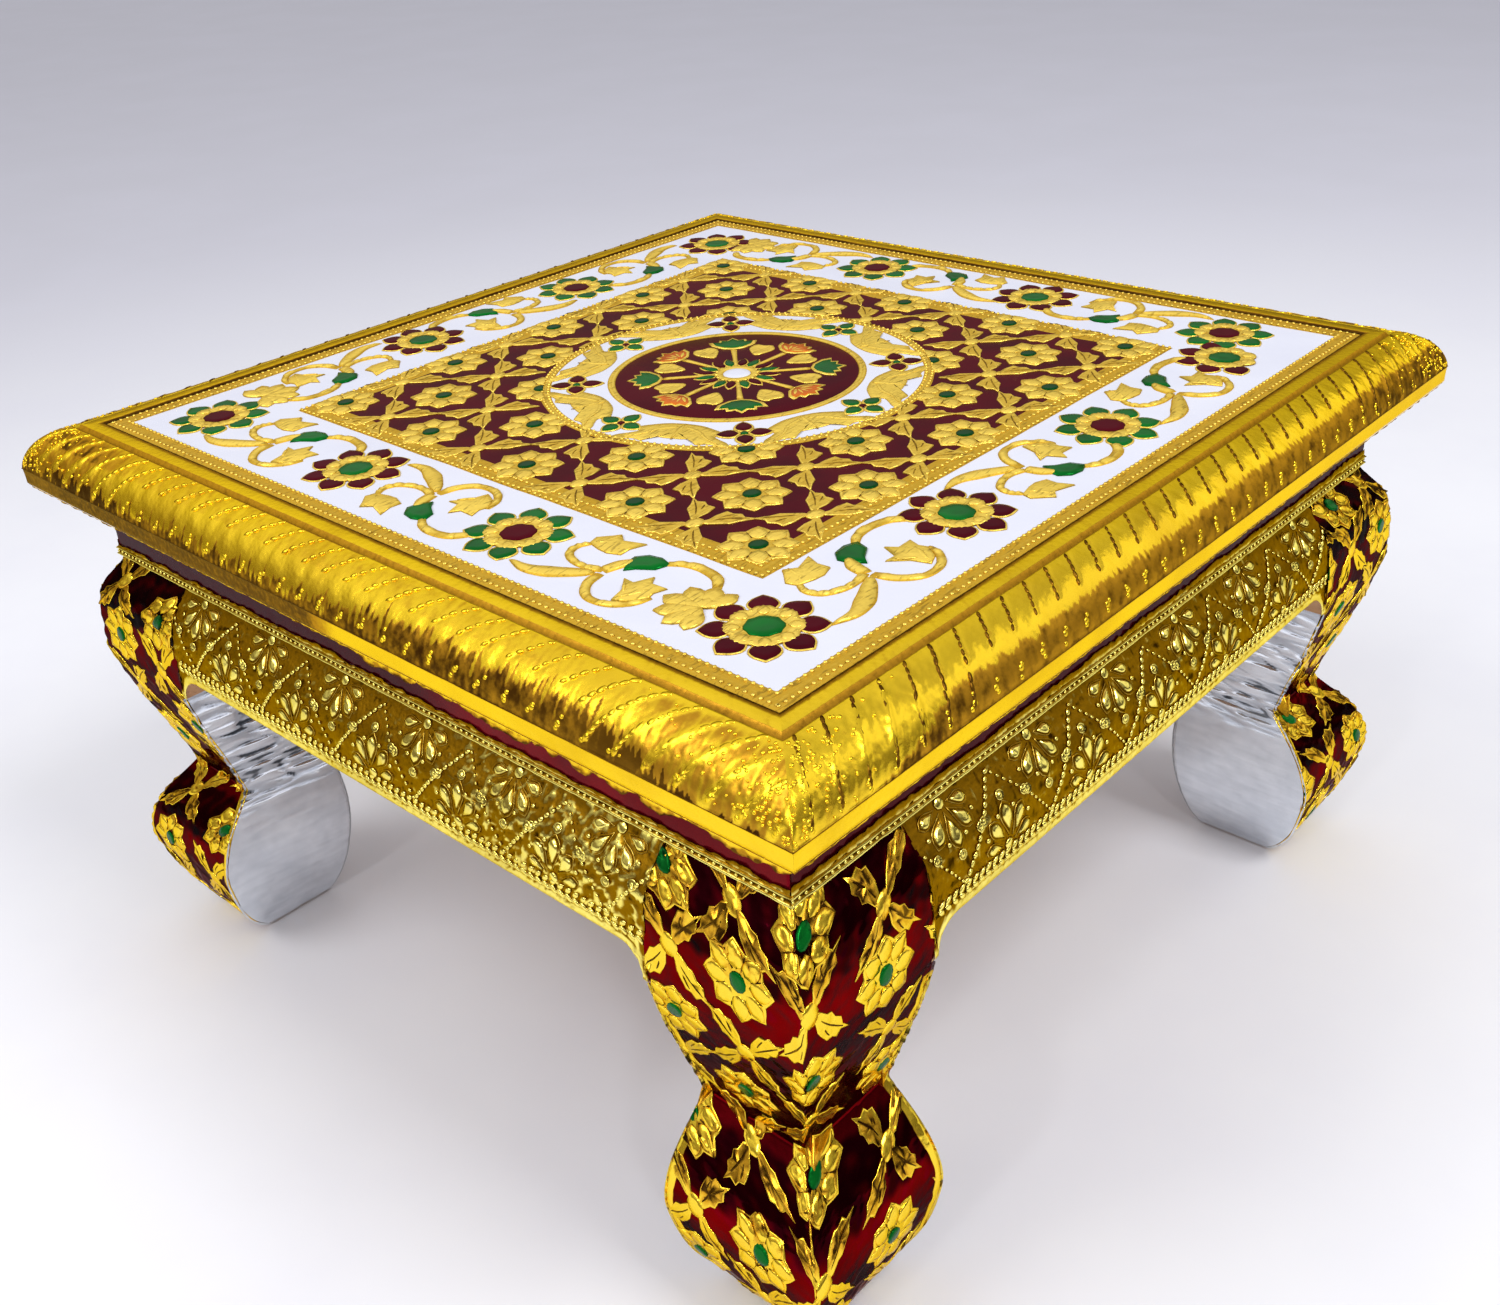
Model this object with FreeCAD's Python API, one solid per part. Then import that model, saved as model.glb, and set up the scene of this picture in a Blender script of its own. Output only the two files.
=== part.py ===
"""Bajot: a low square table, a wooden core dressed in embossed foil.

Millimetres, +Z up. The origin lies on the floor under the middle of the top.
An offset is a distance outward from the upright middle axis, square to a side,
and a level is a height above the floor.

The core is a board in a mitred moulding, a mitred neck frame under it, four
swelling aprons and four legs sawn to an S on both outer sides. Each visible
face carries a skin of embossed foil, as thick as its relief is high.
"""
import FreeCAD, Part
import math
import os

from FreeCAD import Vector

# Overall size
table_height = 178.0
overall_half = 152.4

# Embossed foil skins, measured to the crests of their relief, and loose fits
foil = 1.0
glue_film = 0.1
screw_clearance = 0.1
foil_floor_gap = 0.6

# Top board
board_thickness = 11.4

# Moulding around the board
moulding_height = 18.0
lip_width = 5.2
quirk_width = 1.6
quirk_depth = 1.6
ovolo_reach = 13.6
ovolo_radius = 14.8
ovolo_fall = 0.4
fillet_height = 5.2
fillet_setback = 0.5
rebate_width = 15.0

# Neck frame under the moulding
moulding_overhang = 15.9
neck_height = 25.0
neck_width = 20.0
bead_strip_height = 3.2
bead_strip_proud = 0.9

# Leg, with its swells and hollows measured from the neck and from its inner face
leg_width = 37.0
knee_swell = 9.4
ankle_hollow = 3.2
foot_swell = 11.7
base_setback = 3.5
ankle_inner_hollow = 2.0
base_inner_setback = 9.9
knee_drop = 31.0
ankle_level = 59.5
foot_level = 34.0
foot_inner_level = 38.0

# Apron boards between the legs
apron_height = 26.5
apron_thickness = 22.0
ear_radius = 8.0
ear_tip = 1.2

# Glue blocks and fixings
block_leg = 34.0
screw_radius = 2.0
screw_head_radius = 4.0
screw_head_height = 2.6
screw_bite = 24.0
screw_setback = 8.5
pin_radius = 0.8
pin_head_radius = 1.7
pin_head_height = 0.8
pin_bite = 8.0
pin_end_distance = 52.0

# Overrun of cutting tools past the solids that they cut
overrun = 5.0

# Share of the rise from ankle to neck at which the leg's inner face turns straight
inner_straight_share = 0.43

# Shares of the swell or shrink, and of the drop, along each curve of the leg
shoulder_shares = ((0.36, 0.15), (0.69, 0.29), (0.85, 0.43), (0.94, 0.68))
calf_shares = ((0.08, 0.14), (0.21, 0.285), (0.38, 0.454), (0.58, 0.625), (0.79, 0.81))
instep_shares = ((0.20, 0.15), (0.46, 0.33), (0.76, 0.59), (0.94, 0.84))
toe_shares = ((0.05, 0.24), (0.19, 0.50), (0.42, 0.72), (0.66, 0.87))
inner_calf_shares = ((0.18, 0.30), (0.62, 0.66))
inner_foot_shares = ((0.35, 0.25), (0.82, 0.66))
inner_toe_shares = ((0.12, 0.33), (0.42, 0.68))

# Levels and offsets that follow from the sizes above
moulding_bottom = table_height - moulding_height
quirk_offset = overall_half - ovolo_reach - quirk_width
board_half = quirk_offset - lip_width
board_top = table_height - foil
board_bottom = board_top - board_thickness
neck_half = overall_half - moulding_overhang
neck_bottom = moulding_bottom - neck_height
neck_inner = neck_half - neck_width
rebate_inner = board_half - rebate_width
pin_spacing = board_half - pin_end_distance
knee_offset = neck_half + knee_swell
knee_level = neck_bottom - knee_drop
ankle_offset = neck_half - ankle_hollow
foot_offset = neck_half + foot_swell
base_offset = neck_half - base_setback
leg_inner_offset = neck_half - leg_width
ankle_inner_offset = leg_inner_offset + ankle_inner_hollow
base_inner_offset = leg_inner_offset + base_inner_setback
inner_straight_level = ankle_level + inner_straight_share * (neck_bottom - ankle_level)
apron_inner = knee_offset - apron_thickness
apron_lowest = neck_bottom - apron_height - ear_radius

SIDES = ("front", "right", "back", "left")
CORNERS = ("front_right", "back_right", "back_left", "front_left")
QUARTER_TURN = 90.0
HALF_CORNER = 45.0
UPRIGHT = Vector(0, 0, 1)
CORNER_NORMAL = Vector(1, 1, 0)


def save(name, shape):
    """Write one node's solids to its own file and print what it holds."""
    shape.exportStep("parts/" + name + ".step")
    print(name, len(shape.Solids), "solid(s)", round(shape.Volume, 1), shape.isValid())


def turned(shape, quarter):
    """Copy a shape, turned about the upright axis by quarter turns."""
    copy = shape.copy()
    copy.rotate(Vector(0, 0, 0), UPRIGHT, quarter * QUARTER_TURN)
    return copy


def group(shapes):
    """Gather separate solids into one shape."""
    return Part.makeCompound(shapes)


def section_point(offset, level):
    """A point of a section that faces the front, which lies at minus Y."""
    return Vector(0, -offset, level)


def polyline(points):
    """Straight edges through a list of points."""
    return [Part.makeLine(a, b) for a, b in zip(points, points[1:])]


def curve(points):
    """One smooth edge through a list of points."""
    spline = Part.BSplineCurve()
    spline.interpolate(points)
    return spline.toShape()


def arc(start, middle, end):
    """One edge on the circle through three points."""
    return Part.Arc(start, middle, end).toShape()


def face_of(edges):
    """A flat face inside a closed run of edges."""
    return Part.Face(Part.Wire(edges))


def mitred(section):
    """Run a front section from mitre to mitre along one side of the square."""
    reach = overall_half + overrun
    run = section.copy()
    run.translate(Vector(-reach, 0, 0))
    bar = run.extrude(Vector(reach + reach, 0, 0))
    corners = [Vector(0, 0, -overrun), Vector(-reach, -reach, -overrun), Vector(reach, -reach, -overrun)]
    wedge = Part.Face(Part.makePolygon(corners + corners[:1]))
    prism = wedge.extrude(Vector(0, 0, table_height + overrun + overrun))
    return bar.common(prism)


def save_sides(name, solid):
    """Write the front solid and its three copies, one node to a side."""
    for quarter, side in enumerate(SIDES):
        save(name + "_" + side, turned(solid, quarter))


def save_corners(name, solid):
    """Write the front right solid and its three copies, one node to a corner."""
    for quarter, corner in enumerate(CORNERS):
        save(name + "_" + corner, turned(solid, quarter))


def ovolo_edge(skin):
    """The rounded part of the moulding, with the foil's thickness taken off."""
    centre_offset = overall_half - ovolo_radius
    centre_level = table_height - ovolo_fall - ovolo_radius
    centre = section_point(centre_offset, centre_level)
    radius = ovolo_radius - skin
    start_offset = overall_half - ovolo_reach
    start_rise = math.sqrt(radius ** 2 - (start_offset - centre_offset) ** 2)
    end_level = moulding_bottom + fillet_height
    end_run = math.sqrt(radius ** 2 - (centre_level - end_level) ** 2)
    start = section_point(start_offset, centre_level + start_rise)
    end = section_point(centre_offset + end_run, end_level)
    middle_direction = (start - centre) + (end - centre)
    middle_direction.normalize()
    return arc(start, centre + middle_direction * radius, end)


def moulding_outline(skin):
    """Edges from the top's seam over lip, quirk, ovolo and fillet to the underside."""
    top = table_height - skin
    ovolo = ovolo_edge(skin)
    ovolo_start, ovolo_end = ovolo.Vertexes[0].Point, ovolo.Vertexes[-1].Point
    quirk_bottom = section_point(quirk_offset + quirk_width / 2, top - quirk_depth)
    seam, lip_end = section_point(board_half, top), section_point(quirk_offset, top)
    lip = polyline([seam, lip_end, quirk_bottom, ovolo_start])
    fillet_offset = overall_half - fillet_setback - skin
    fillet_top = section_point(fillet_offset, ovolo_end.z)
    fillet = polyline([ovolo_end, fillet_top, section_point(fillet_offset, moulding_bottom)])
    return lip, ovolo, fillet


def moulding_section(skin):
    """Closed section of a moulding rail with its rebate for the board."""
    lip, ovolo, fillet = moulding_outline(skin)
    under = polyline([
        fillet[-1].Vertexes[-1].Point,
        section_point(rebate_inner, moulding_bottom),
        section_point(rebate_inner, board_bottom),
        section_point(board_half, board_bottom),
        lip[0].Vertexes[0].Point,
    ])
    return face_of(lip + [ovolo] + fillet + under)


def make_board():
    """The square board that the rails frame."""
    side = board_half + board_half
    return Part.makeBox(side, side, board_thickness, Vector(-board_half, -board_half, board_bottom))


def make_top_sheet():
    """The enamelled sheet on the board, flush with the moulding's lip."""
    side = board_half + board_half
    return Part.makeBox(side, side, foil, Vector(-board_half, -board_half, board_top))


def make_moulding_rail():
    """One wooden moulding rail, bored for the pins that hold the board."""
    rail = mitred(moulding_section(foil))
    for place in pin_places():
        rail = rail.cut(pin_solid(place, screw_clearance))
    return rail


def make_moulding_skin():
    """The embossed foil over one moulding rail."""
    outer, inner = moulding_section(0.0), moulding_section(foil)
    return mitred(outer).cut(mitred(inner))


def rectangle(inner, outer, low, high):
    """Closed rectangle of a front section between two offsets and two levels."""
    corners = [
        section_point(inner, low),
        section_point(outer, low),
        section_point(outer, high),
        section_point(inner, high),
    ]
    return face_of(polyline(corners + corners[:1]))


def make_neck_rail():
    """One rail of the frame between the moulding and the legs, bored for its screws."""
    rail = mitred(rectangle(neck_inner, neck_half - foil, neck_bottom, moulding_bottom))
    for place in screw_places():
        rail = rail.cut(screw_solid(place, screw_clearance))
    return rail


def make_neck_band():
    """The painted band over one neck rail, above the beaded strip."""
    low = neck_bottom + bead_strip_height
    return mitred(rectangle(neck_half - foil, neck_half, low, moulding_bottom))


def make_bead_strip():
    """The beaded strip along the foot of one neck rail."""
    outer = neck_half + bead_strip_proud
    return mitred(rectangle(neck_half - foil, outer, neck_bottom, neck_bottom + bead_strip_height))


def along(start, end, shares):
    """Offsets and levels between two ends, by shares of their differences."""
    offset_change, level_change = end[0] - start[0], end[1] - start[1]
    inside = [(start[0] + a * offset_change, start[1] + b * level_change) for a, b in shares]
    return [start] + inside + [end]


def outer_leg_points(skin):
    """The outer S of the leg: the upper curve down to the ankle, and the foot."""
    neck = (neck_half - skin, neck_bottom)
    knee = (knee_offset - skin, knee_level)
    ankle = (ankle_offset - skin, ankle_level)
    foot = (foot_offset - skin, foot_level)
    base = (base_offset - skin, 0.0)
    upper = along(neck, knee, shoulder_shares)[:-1] + along(knee, ankle, calf_shares)
    lower = along(ankle, foot, instep_shares)[:-1] + along(foot, base, toe_shares)
    return upper, lower


def inner_leg_points(skin):
    """The inner face of the leg below its straight top, from the floor upward."""
    straight = (leg_inner_offset + skin, inner_straight_level)
    ankle = (ankle_inner_offset + skin, ankle_level)
    foot = (leg_inner_offset + skin, foot_inner_level)
    base = (base_inner_offset + skin, 0.0)
    downward = along(straight, ankle, inner_calf_shares)[:-1]
    downward += along(ankle, foot, inner_foot_shares)[:-1]
    downward += along(foot, base, inner_toe_shares)
    return downward[::-1]


def upright(pairs):
    """Offsets and levels as points of the plane through the middle, square to a side."""
    return [Vector(offset, 0, level) for offset, level in pairs]


def leg_profile(inner_skin, outer_skin):
    """Closed profile of the leg, standing in a plane square to one side."""
    upper, lower = outer_leg_points(outer_skin)
    upper_points, lower_points = upright(upper), upright(lower)
    inner_points = upright(inner_leg_points(inner_skin))
    top_inner = Vector(leg_inner_offset + inner_skin, 0, neck_bottom)
    return face_of([
        curve(upper_points),
        curve(lower_points),
        Part.makeLine(lower_points[-1], inner_points[0]),
        curve(inner_points),
        Part.makeLine(inner_points[-1], top_inner),
        Part.makeLine(top_inner, upper_points[0]),
    ])


def leg_solid(inner_skin, outer_skin):
    """The leg at the front right: one profile sawn from two sides at a right angle."""
    profile = leg_profile(inner_skin, outer_skin)
    depth = foot_offset + overrun
    first = profile.copy()
    first.translate(Vector(0, -depth, 0))
    first = first.extrude(Vector(0, depth, 0))
    second = turned(profile, -1)
    second = second.extrude(Vector(depth, 0, 0))
    return first.common(second)


def floor_trim():
    """A slab that trims the skins clear of the floor."""
    side = foot_offset + overrun
    corner = Vector(-side, -side, -overrun)
    return Part.makeBox(side + side, side + side, overrun + foil_floor_gap, corner)


def make_leg():
    """One wooden leg, bored for its screws."""
    leg = leg_solid(foil, foil)
    for place in corner_screw_places():
        leg = leg.cut(screw_solid(place, screw_clearance))
    return leg


def make_leg_skin():
    """The enamelled foil over the two outer faces of a leg."""
    return leg_solid(foil, 0.0).cut(leg_solid(foil, foil)).cut(floor_trim())


def apron_seat():
    """The room that the end of the front apron takes on the front right leg."""
    width, depth = leg_inner_offset + foil, overall_half - apron_inner
    corner = Vector(0, -overall_half, apron_lowest)
    return Part.makeBox(width, depth, neck_bottom - apron_lowest, corner)


def make_leg_lining():
    """The silver foil over the two inner faces of a leg, cut round the aprons."""
    lining = leg_solid(0.0, 0.0).cut(leg_solid(foil, 0.0)).cut(floor_trim())
    seat = apron_seat()
    other_seat = seat.mirror(Vector(0, 0, 0), CORNER_NORMAL)
    return lining.cut(seat).cut(other_seat)


def apron_section(skin):
    """Closed section of an apron, with the same shoulder as the legs."""
    neck = (neck_half - skin, neck_bottom)
    knee = (knee_offset - skin, knee_level)
    shoulder = [section_point(a, b) for a, b in along(neck, knee, shoulder_shares)]
    return face_of([
        curve(shoulder),
        *polyline([
            shoulder[-1],
            section_point(knee_offset - skin, apron_lowest),
            section_point(apron_inner, apron_lowest),
            section_point(apron_inner, neck_bottom),
            shoulder[0],
        ]),
    ])


def ear_arc(side):
    """The round under one end of an apron, from its straight edge to its ear."""
    centre = Vector(side * (leg_inner_offset + foil - ear_tip - ear_radius), 0, apron_lowest)
    slant = ear_radius * math.cos(math.radians(HALF_CORNER))
    top = centre + Vector(0, 0, ear_radius)
    middle = centre + Vector(side * slant, 0, slant)
    end = centre + Vector(side * ear_radius, 0, 0)
    return arc(top, middle, end), top, end


def apron_arch():
    """What is sawn from under an apron: a long slot with a round at each end."""
    right, right_top, right_end = ear_arc(1)
    left, left_top, left_end = ear_arc(-1)
    drop = Vector(0, 0, -overrun)
    below = polyline([right_end, right_end + drop, left_end + drop, left_end])
    arch = face_of([right, *below, left, Part.makeLine(left_top, right_top)])
    arch.translate(Vector(0, -overall_half, 0))
    return arch.extrude(Vector(0, overall_half, 0))


def apron_bar(skin):
    """An apron section run along the front from leg to leg, with its underside sawn."""
    half = leg_inner_offset + foil
    run = apron_section(skin)
    run.translate(Vector(-half, 0, 0))
    return run.extrude(Vector(half + half, 0, 0)).cut(apron_arch())


def make_apron():
    """One wooden apron board, butted between two legs."""
    return apron_bar(foil)


def make_apron_skin():
    """The embossed foil over the swelling face of an apron, on its film of glue."""
    return apron_bar(0.0).cut(apron_bar(foil - glue_film))


def make_corner_block():
    """A glue block in the corner of the neck frame, on top of a leg."""
    corner = neck_inner
    cut = corner - block_leg
    points = [
        Vector(corner, -corner, neck_bottom),
        Vector(cut, -corner, neck_bottom),
        Vector(corner, -cut, neck_bottom),
    ]
    triangle = Part.Face(Part.makePolygon(points + points[:1]))
    return triangle.extrude(Vector(0, 0, neck_height))


def screw_places():
    """Where a front neck rail is screwed to the two legs under it."""
    run = leg_inner_offset + screw_setback
    middle = -(neck_half + neck_inner) / 2
    return [Vector(run, middle, moulding_bottom), Vector(-run, middle, moulding_bottom)]


def corner_screw_places():
    """The two screws that enter the front right leg."""
    first = screw_places()[0]
    return [first, Vector(-first.y, -first.x, first.z)]


def screw_solid(place, clearance):
    """A countersunk screw hanging from its head, with room around it if asked."""
    length = neck_height + screw_bite + clearance
    shank = Part.makeCylinder(screw_radius + clearance, length, place - Vector(0, 0, length))
    head = Part.makeCone(
        screw_radius + clearance,
        screw_head_radius + clearance,
        screw_head_height,
        place - Vector(0, 0, screw_head_height),
    )
    return shank.fuse(head)


def make_screws():
    """The screws that hold the neck frame down on the legs."""
    solids = []
    for quarter in range(len(SIDES)):
        solids += [turned(screw_solid(place, 0.0), quarter) for place in screw_places()]
    return group(solids)


def pin_places():
    """Where a front rail's rebate is pinned up into the board."""
    middle = -(rebate_inner + board_half) / 2
    return [Vector(run, middle, moulding_bottom) for run in (-pin_spacing, 0.0, pin_spacing)]


def pin_solid(place, clearance):
    """A headed pin standing on the underside of the rebate."""
    length = board_bottom - moulding_bottom + pin_bite
    shank = Part.makeCylinder(pin_radius + clearance, length + clearance, place)
    head = Part.makeCylinder(pin_head_radius + clearance, pin_head_height, place)
    return shank.fuse(head)


def make_pins():
    """The pins that hold the board in the rails."""
    solids = []
    for quarter in range(len(SIDES)):
        solids += [turned(pin_solid(place, 0.0), quarter) for place in pin_places()]
    return group(solids)


def make_bored_board():
    """The board with holes for its pins."""
    board = make_board()
    for quarter in range(len(SIDES)):
        for place in pin_places():
            board = board.cut(turned(pin_solid(place, screw_clearance), quarter))
    return board


def main():
    """Make every piece and write it to its own file."""
    os.makedirs("parts", exist_ok=True)
    save("top_board", make_bored_board())
    save("top_sheet", make_top_sheet())
    save_sides("moulding_rail", make_moulding_rail())
    save_sides("moulding_skin", make_moulding_skin())
    save_sides("neck_rail", make_neck_rail())
    save_sides("neck_band", make_neck_band())
    save_sides("bead_strip", make_bead_strip())
    save_sides("apron", make_apron())
    save_sides("apron_skin", make_apron_skin())
    save_corners("leg", make_leg())
    save_corners("leg_skin", make_leg_skin())
    save_corners("leg_lining", make_leg_lining())
    save_corners("corner_block", make_corner_block())
    save("leg_screws", make_screws())
    save("board_pins", make_pins())


main()
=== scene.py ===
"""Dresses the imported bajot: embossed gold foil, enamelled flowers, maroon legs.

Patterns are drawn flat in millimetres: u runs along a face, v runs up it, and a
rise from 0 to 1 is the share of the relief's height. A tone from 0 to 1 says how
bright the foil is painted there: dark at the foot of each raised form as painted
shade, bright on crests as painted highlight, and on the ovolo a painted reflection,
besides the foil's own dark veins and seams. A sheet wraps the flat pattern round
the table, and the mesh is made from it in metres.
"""
import logging
import math
from dataclasses import dataclass, field
from enum import Enum, IntEnum
from functools import cached_property
from typing import Callable, ClassVar, Protocol

import bpy
import numpy as np
from mathutils import Matrix


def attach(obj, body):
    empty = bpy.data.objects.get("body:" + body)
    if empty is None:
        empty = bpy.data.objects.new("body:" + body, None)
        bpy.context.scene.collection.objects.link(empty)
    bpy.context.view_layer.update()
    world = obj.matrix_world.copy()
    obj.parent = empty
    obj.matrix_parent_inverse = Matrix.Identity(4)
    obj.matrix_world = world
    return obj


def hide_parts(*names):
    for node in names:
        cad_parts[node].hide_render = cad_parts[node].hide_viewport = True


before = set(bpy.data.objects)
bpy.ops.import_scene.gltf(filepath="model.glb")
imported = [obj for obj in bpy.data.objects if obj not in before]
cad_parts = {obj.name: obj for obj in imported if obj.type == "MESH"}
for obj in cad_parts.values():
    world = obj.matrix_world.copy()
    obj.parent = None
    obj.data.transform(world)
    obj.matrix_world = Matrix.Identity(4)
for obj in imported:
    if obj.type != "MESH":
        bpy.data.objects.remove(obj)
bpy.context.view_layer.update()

LOG = logging.getLogger("bajot")
MM = 0.001
Array = np.ndarray
Pair = tuple[float, float]
Triple = tuple[float, float, float]
Colour = tuple[float, float, float, float]
Socket = bpy.types.NodeSocket
Inputs = dict[str | int, object]


class Finish(Enum):
    """The finishes of the table, each with its label and the record slot it belongs to."""

    GOLD = ("gold", "gold_foil")
    TOP_GOLD = ("top_gold", "enamelled_gold")
    AMBER = ("amber", "amber_foil")
    LEG_GOLD = ("leg_gold", "enamelled_maroon")
    WHITE = ("white_enamel", "enamelled_gold")
    MAROON = ("maroon_enamel", "enamelled_gold")
    LEG_MAROON = ("leg_maroon", "enamelled_maroon")
    GREEN = ("green_enamel", "enamelled_gold")
    COPPER = ("copper_enamel", "enamelled_gold")
    PAINT = ("maroon_paint", "maroon_paint")
    SILVER = ("silver", "silver_foil")
    WOOD = ("wood", "bare_wood")
    STEEL = ("steel", "plated_steel")

    def __init__(self, label: str, slot: str) -> None:
        """Keep both halves of the value."""
        self.label = label
        self.slot = slot


class Side(Enum):
    """The four sides, with the quarter turns that bring the front to each."""

    FRONT = 0
    RIGHT = 1
    BACK = 2
    LEFT = 3

    @property
    def label(self) -> str:
        """The side as it stands in names of nodes."""
        return self.name.lower()

    @property
    def kind(self) -> int:
        """0 on the front and the back, 1 on the right and the left."""
        return self.value % 2


class Corner(Enum):
    """The four corners, with the quarter turns from the front right one."""

    FRONT_RIGHT = 0
    BACK_RIGHT = 1
    BACK_LEFT = 2
    FRONT_LEFT = 3


class Seed(IntEnum):
    """First seed of each form's noise, to which a side or corner adds its quarter turns."""

    MOULDING = 20
    BAND = 40
    FRINGE = 50
    STRIP = 60
    APRON = 70
    LEG = 80
    HEM = 90
    APRON_DENTS = 100
    LEG_DENTS = 120


# Flat patterns


@dataclass(frozen=True)
class Patch:
    """A mesh in flat pattern space: points are u, v, rise and tone, faces are triangles."""

    points: Array
    faces: Array


def join(patches: list[Patch]) -> Patch:
    """Gather patches into one.

    Args:
        patches: The patches to gather.

    Returns:
        One patch whose faces are renumbered by the points before them.
    """
    starts = np.cumsum([0] + [len(p.points) for p in patches[:-1]])
    faces = np.concatenate([p.faces + s for p, s in zip(patches, starts)])
    return Patch(np.concatenate([p.points for p in patches]), faces)


def stamp(patch: Patch, places: Array) -> Patch:
    """Repeat a patch at many places at once.

    Args:
        patch: The patch, drawn about the origin.
        places: Rows of u, v, turn in radians and size.

    Returns:
        All copies, each scaled, turned and then moved.
    """
    u, v, turn, size = np.asarray(places, float).reshape(-1, 4).T[..., None]
    x, y, rise, tone = patch.points.T
    cos, sin = np.cos(turn), np.sin(turn)
    flat = u + size * (cos * x - sin * y), v + size * (sin * x + cos * y)
    rest = (np.broadcast_to(value, flat[0].shape) for value in (rise, tone))
    shift = np.arange(len(u))[:, None, None] * len(x)
    return Patch(np.stack([*flat, *rest], axis=-1).reshape(-1, 4), (patch.faces + shift).reshape(-1, 3))


def flipped(patch: Patch) -> Patch:
    """Mirror a patch in v and keep its faces upward."""
    return Patch(patch.points * (1.0, -1.0, 1.0, 1.0), patch.faces[:, ::-1])


def lifted(patch: Patch, low: float, high: float) -> Patch:
    """Squeeze a patch's rise from 0..1 into low..high."""
    return Patch(patch.points * (1, 1, high - low, 1) + (0, 0, low, 0), patch.faces)


def inked(patch: Patch, tone: float) -> Patch:
    """Give a whole patch one tone."""
    return Patch(patch.points * (1, 1, 1, 0) + (0, 0, 0, tone), patch.faces)


def grid(u: Array, v: Array, rise: Array, tone: Array | float | None = None) -> Patch:
    """Two triangles to each cell of a grid whose u grows along rows and v down columns.

    Args:
        u: Grid of u.
        v: Grid of v.
        rise: Rise at each point.
        tone: Tone at each point, or none to take the rise.

    Returns:
        The grid's patch.
    """
    rows, columns = u.shape
    index = np.arange(rows * columns).reshape(rows, columns)
    a, b, c, d = index[:-1, :-1], index[:-1, 1:], index[1:, 1:], index[1:, :-1]
    faces = np.stack([a, b, c, a, c, d], axis=-1).reshape(-1, 3)
    shade = rise if tone is None else np.broadcast_to(tone, u.shape)
    return Patch(np.stack([u, v, rise, shade], axis=-1).reshape(-1, 4), faces)


def plate(
    outline: Array, rings: list[Pair], middle: Array | Pair | None = None, tones: list[float] | None = None
) -> Patch:
    """A closed raised plate.

    The outline is shrunk towards its middle once for each ring and lifted to the
    ring's rise; a point in the middle closes the top, and one closes the bottom.
    Unless tones are given, they run from 0.3 at the foot, a painted shade, to 1 at the highest ring, a
    painted highlight.

    Args:
        outline: Points of a closed outline that its middle can see all of.
        rings: Pairs of shrink share and rise, from the foot up.
        middle: The point to shrink towards, or the mean of the outline.
        tones: A tone for each ring, from the foot up.

    Returns:
        The plate's patch.
    """
    x, y = outline.T
    area = np.sum(x * np.roll(y, -1) - y * np.roll(x, -1))
    loop = outline if area > 0 else outline[::-1]
    centre = loop.mean(0) if middle is None else np.asarray(middle, float)
    share, rise = np.array(rings, float).T
    flat = centre + share[:, None, None] * (loop - centre)
    count, turns = len(loop), len(rings)
    shades = 0.3 + 0.7 * (rise - rise[0]) / (rise.max() - rise[0]) if tones is None else np.array(tones)
    levels = np.stack([rise, shades], axis=-1)
    lifts = np.broadcast_to(levels[:, None], (turns, count, 2))
    walls = np.concatenate([flat, lifts], axis=-1).reshape(-1, 4)
    caps = np.array([[*centre, *levels[-1]], [*centre, *levels[0]]])
    here = np.arange(count)
    after = np.roll(here, -1)
    step = (np.arange(turns - 1) * count)[:, None]
    a, b = here + step, after + step
    sides = np.stack([a, b, b + count, a, b + count, a + count], axis=-1).reshape(-1, 3)
    last = (turns - 1) * count
    top = np.stack([here + last, after + last, np.full(count, turns * count)], axis=-1)
    base = np.stack([after, here, np.full(count, turns * count + 1)], axis=-1)
    return Patch(np.concatenate([walls, caps]), np.concatenate([sides, top, base]))


def smooth(points: list[Pair], count: int, closed: bool = False) -> Array:
    """A smooth line through points.

    Between two points the line is the cubic that leaves each along the direction
    from the point before it to the point after it.

    Args:
        points: The points to pass through.
        count: How many points the line gets.
        closed: Whether the line returns to its start.

    Returns:
        The line's points.
    """
    p = np.array(points, float)
    p = np.vstack([p[-1], p, p[0], p[1]]) if closed else np.vstack([2 * p[0] - p[1], p, 2 * p[-1] - p[-2]])
    spans = len(p) - 3
    t = np.linspace(0, spans, count, endpoint=not closed)
    k = np.minimum(t.astype(int), spans - 1)
    s = (t - k)[:, None]
    a, b, c, d = p[k], p[k + 1], p[k + 2], p[k + 3]
    return 0.5 * (2 * b + (c - a) * s + (2 * a - 5 * b + 4 * c - d) * s**2 + (3 * b - a - 3 * c + d) * s**3)


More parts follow.
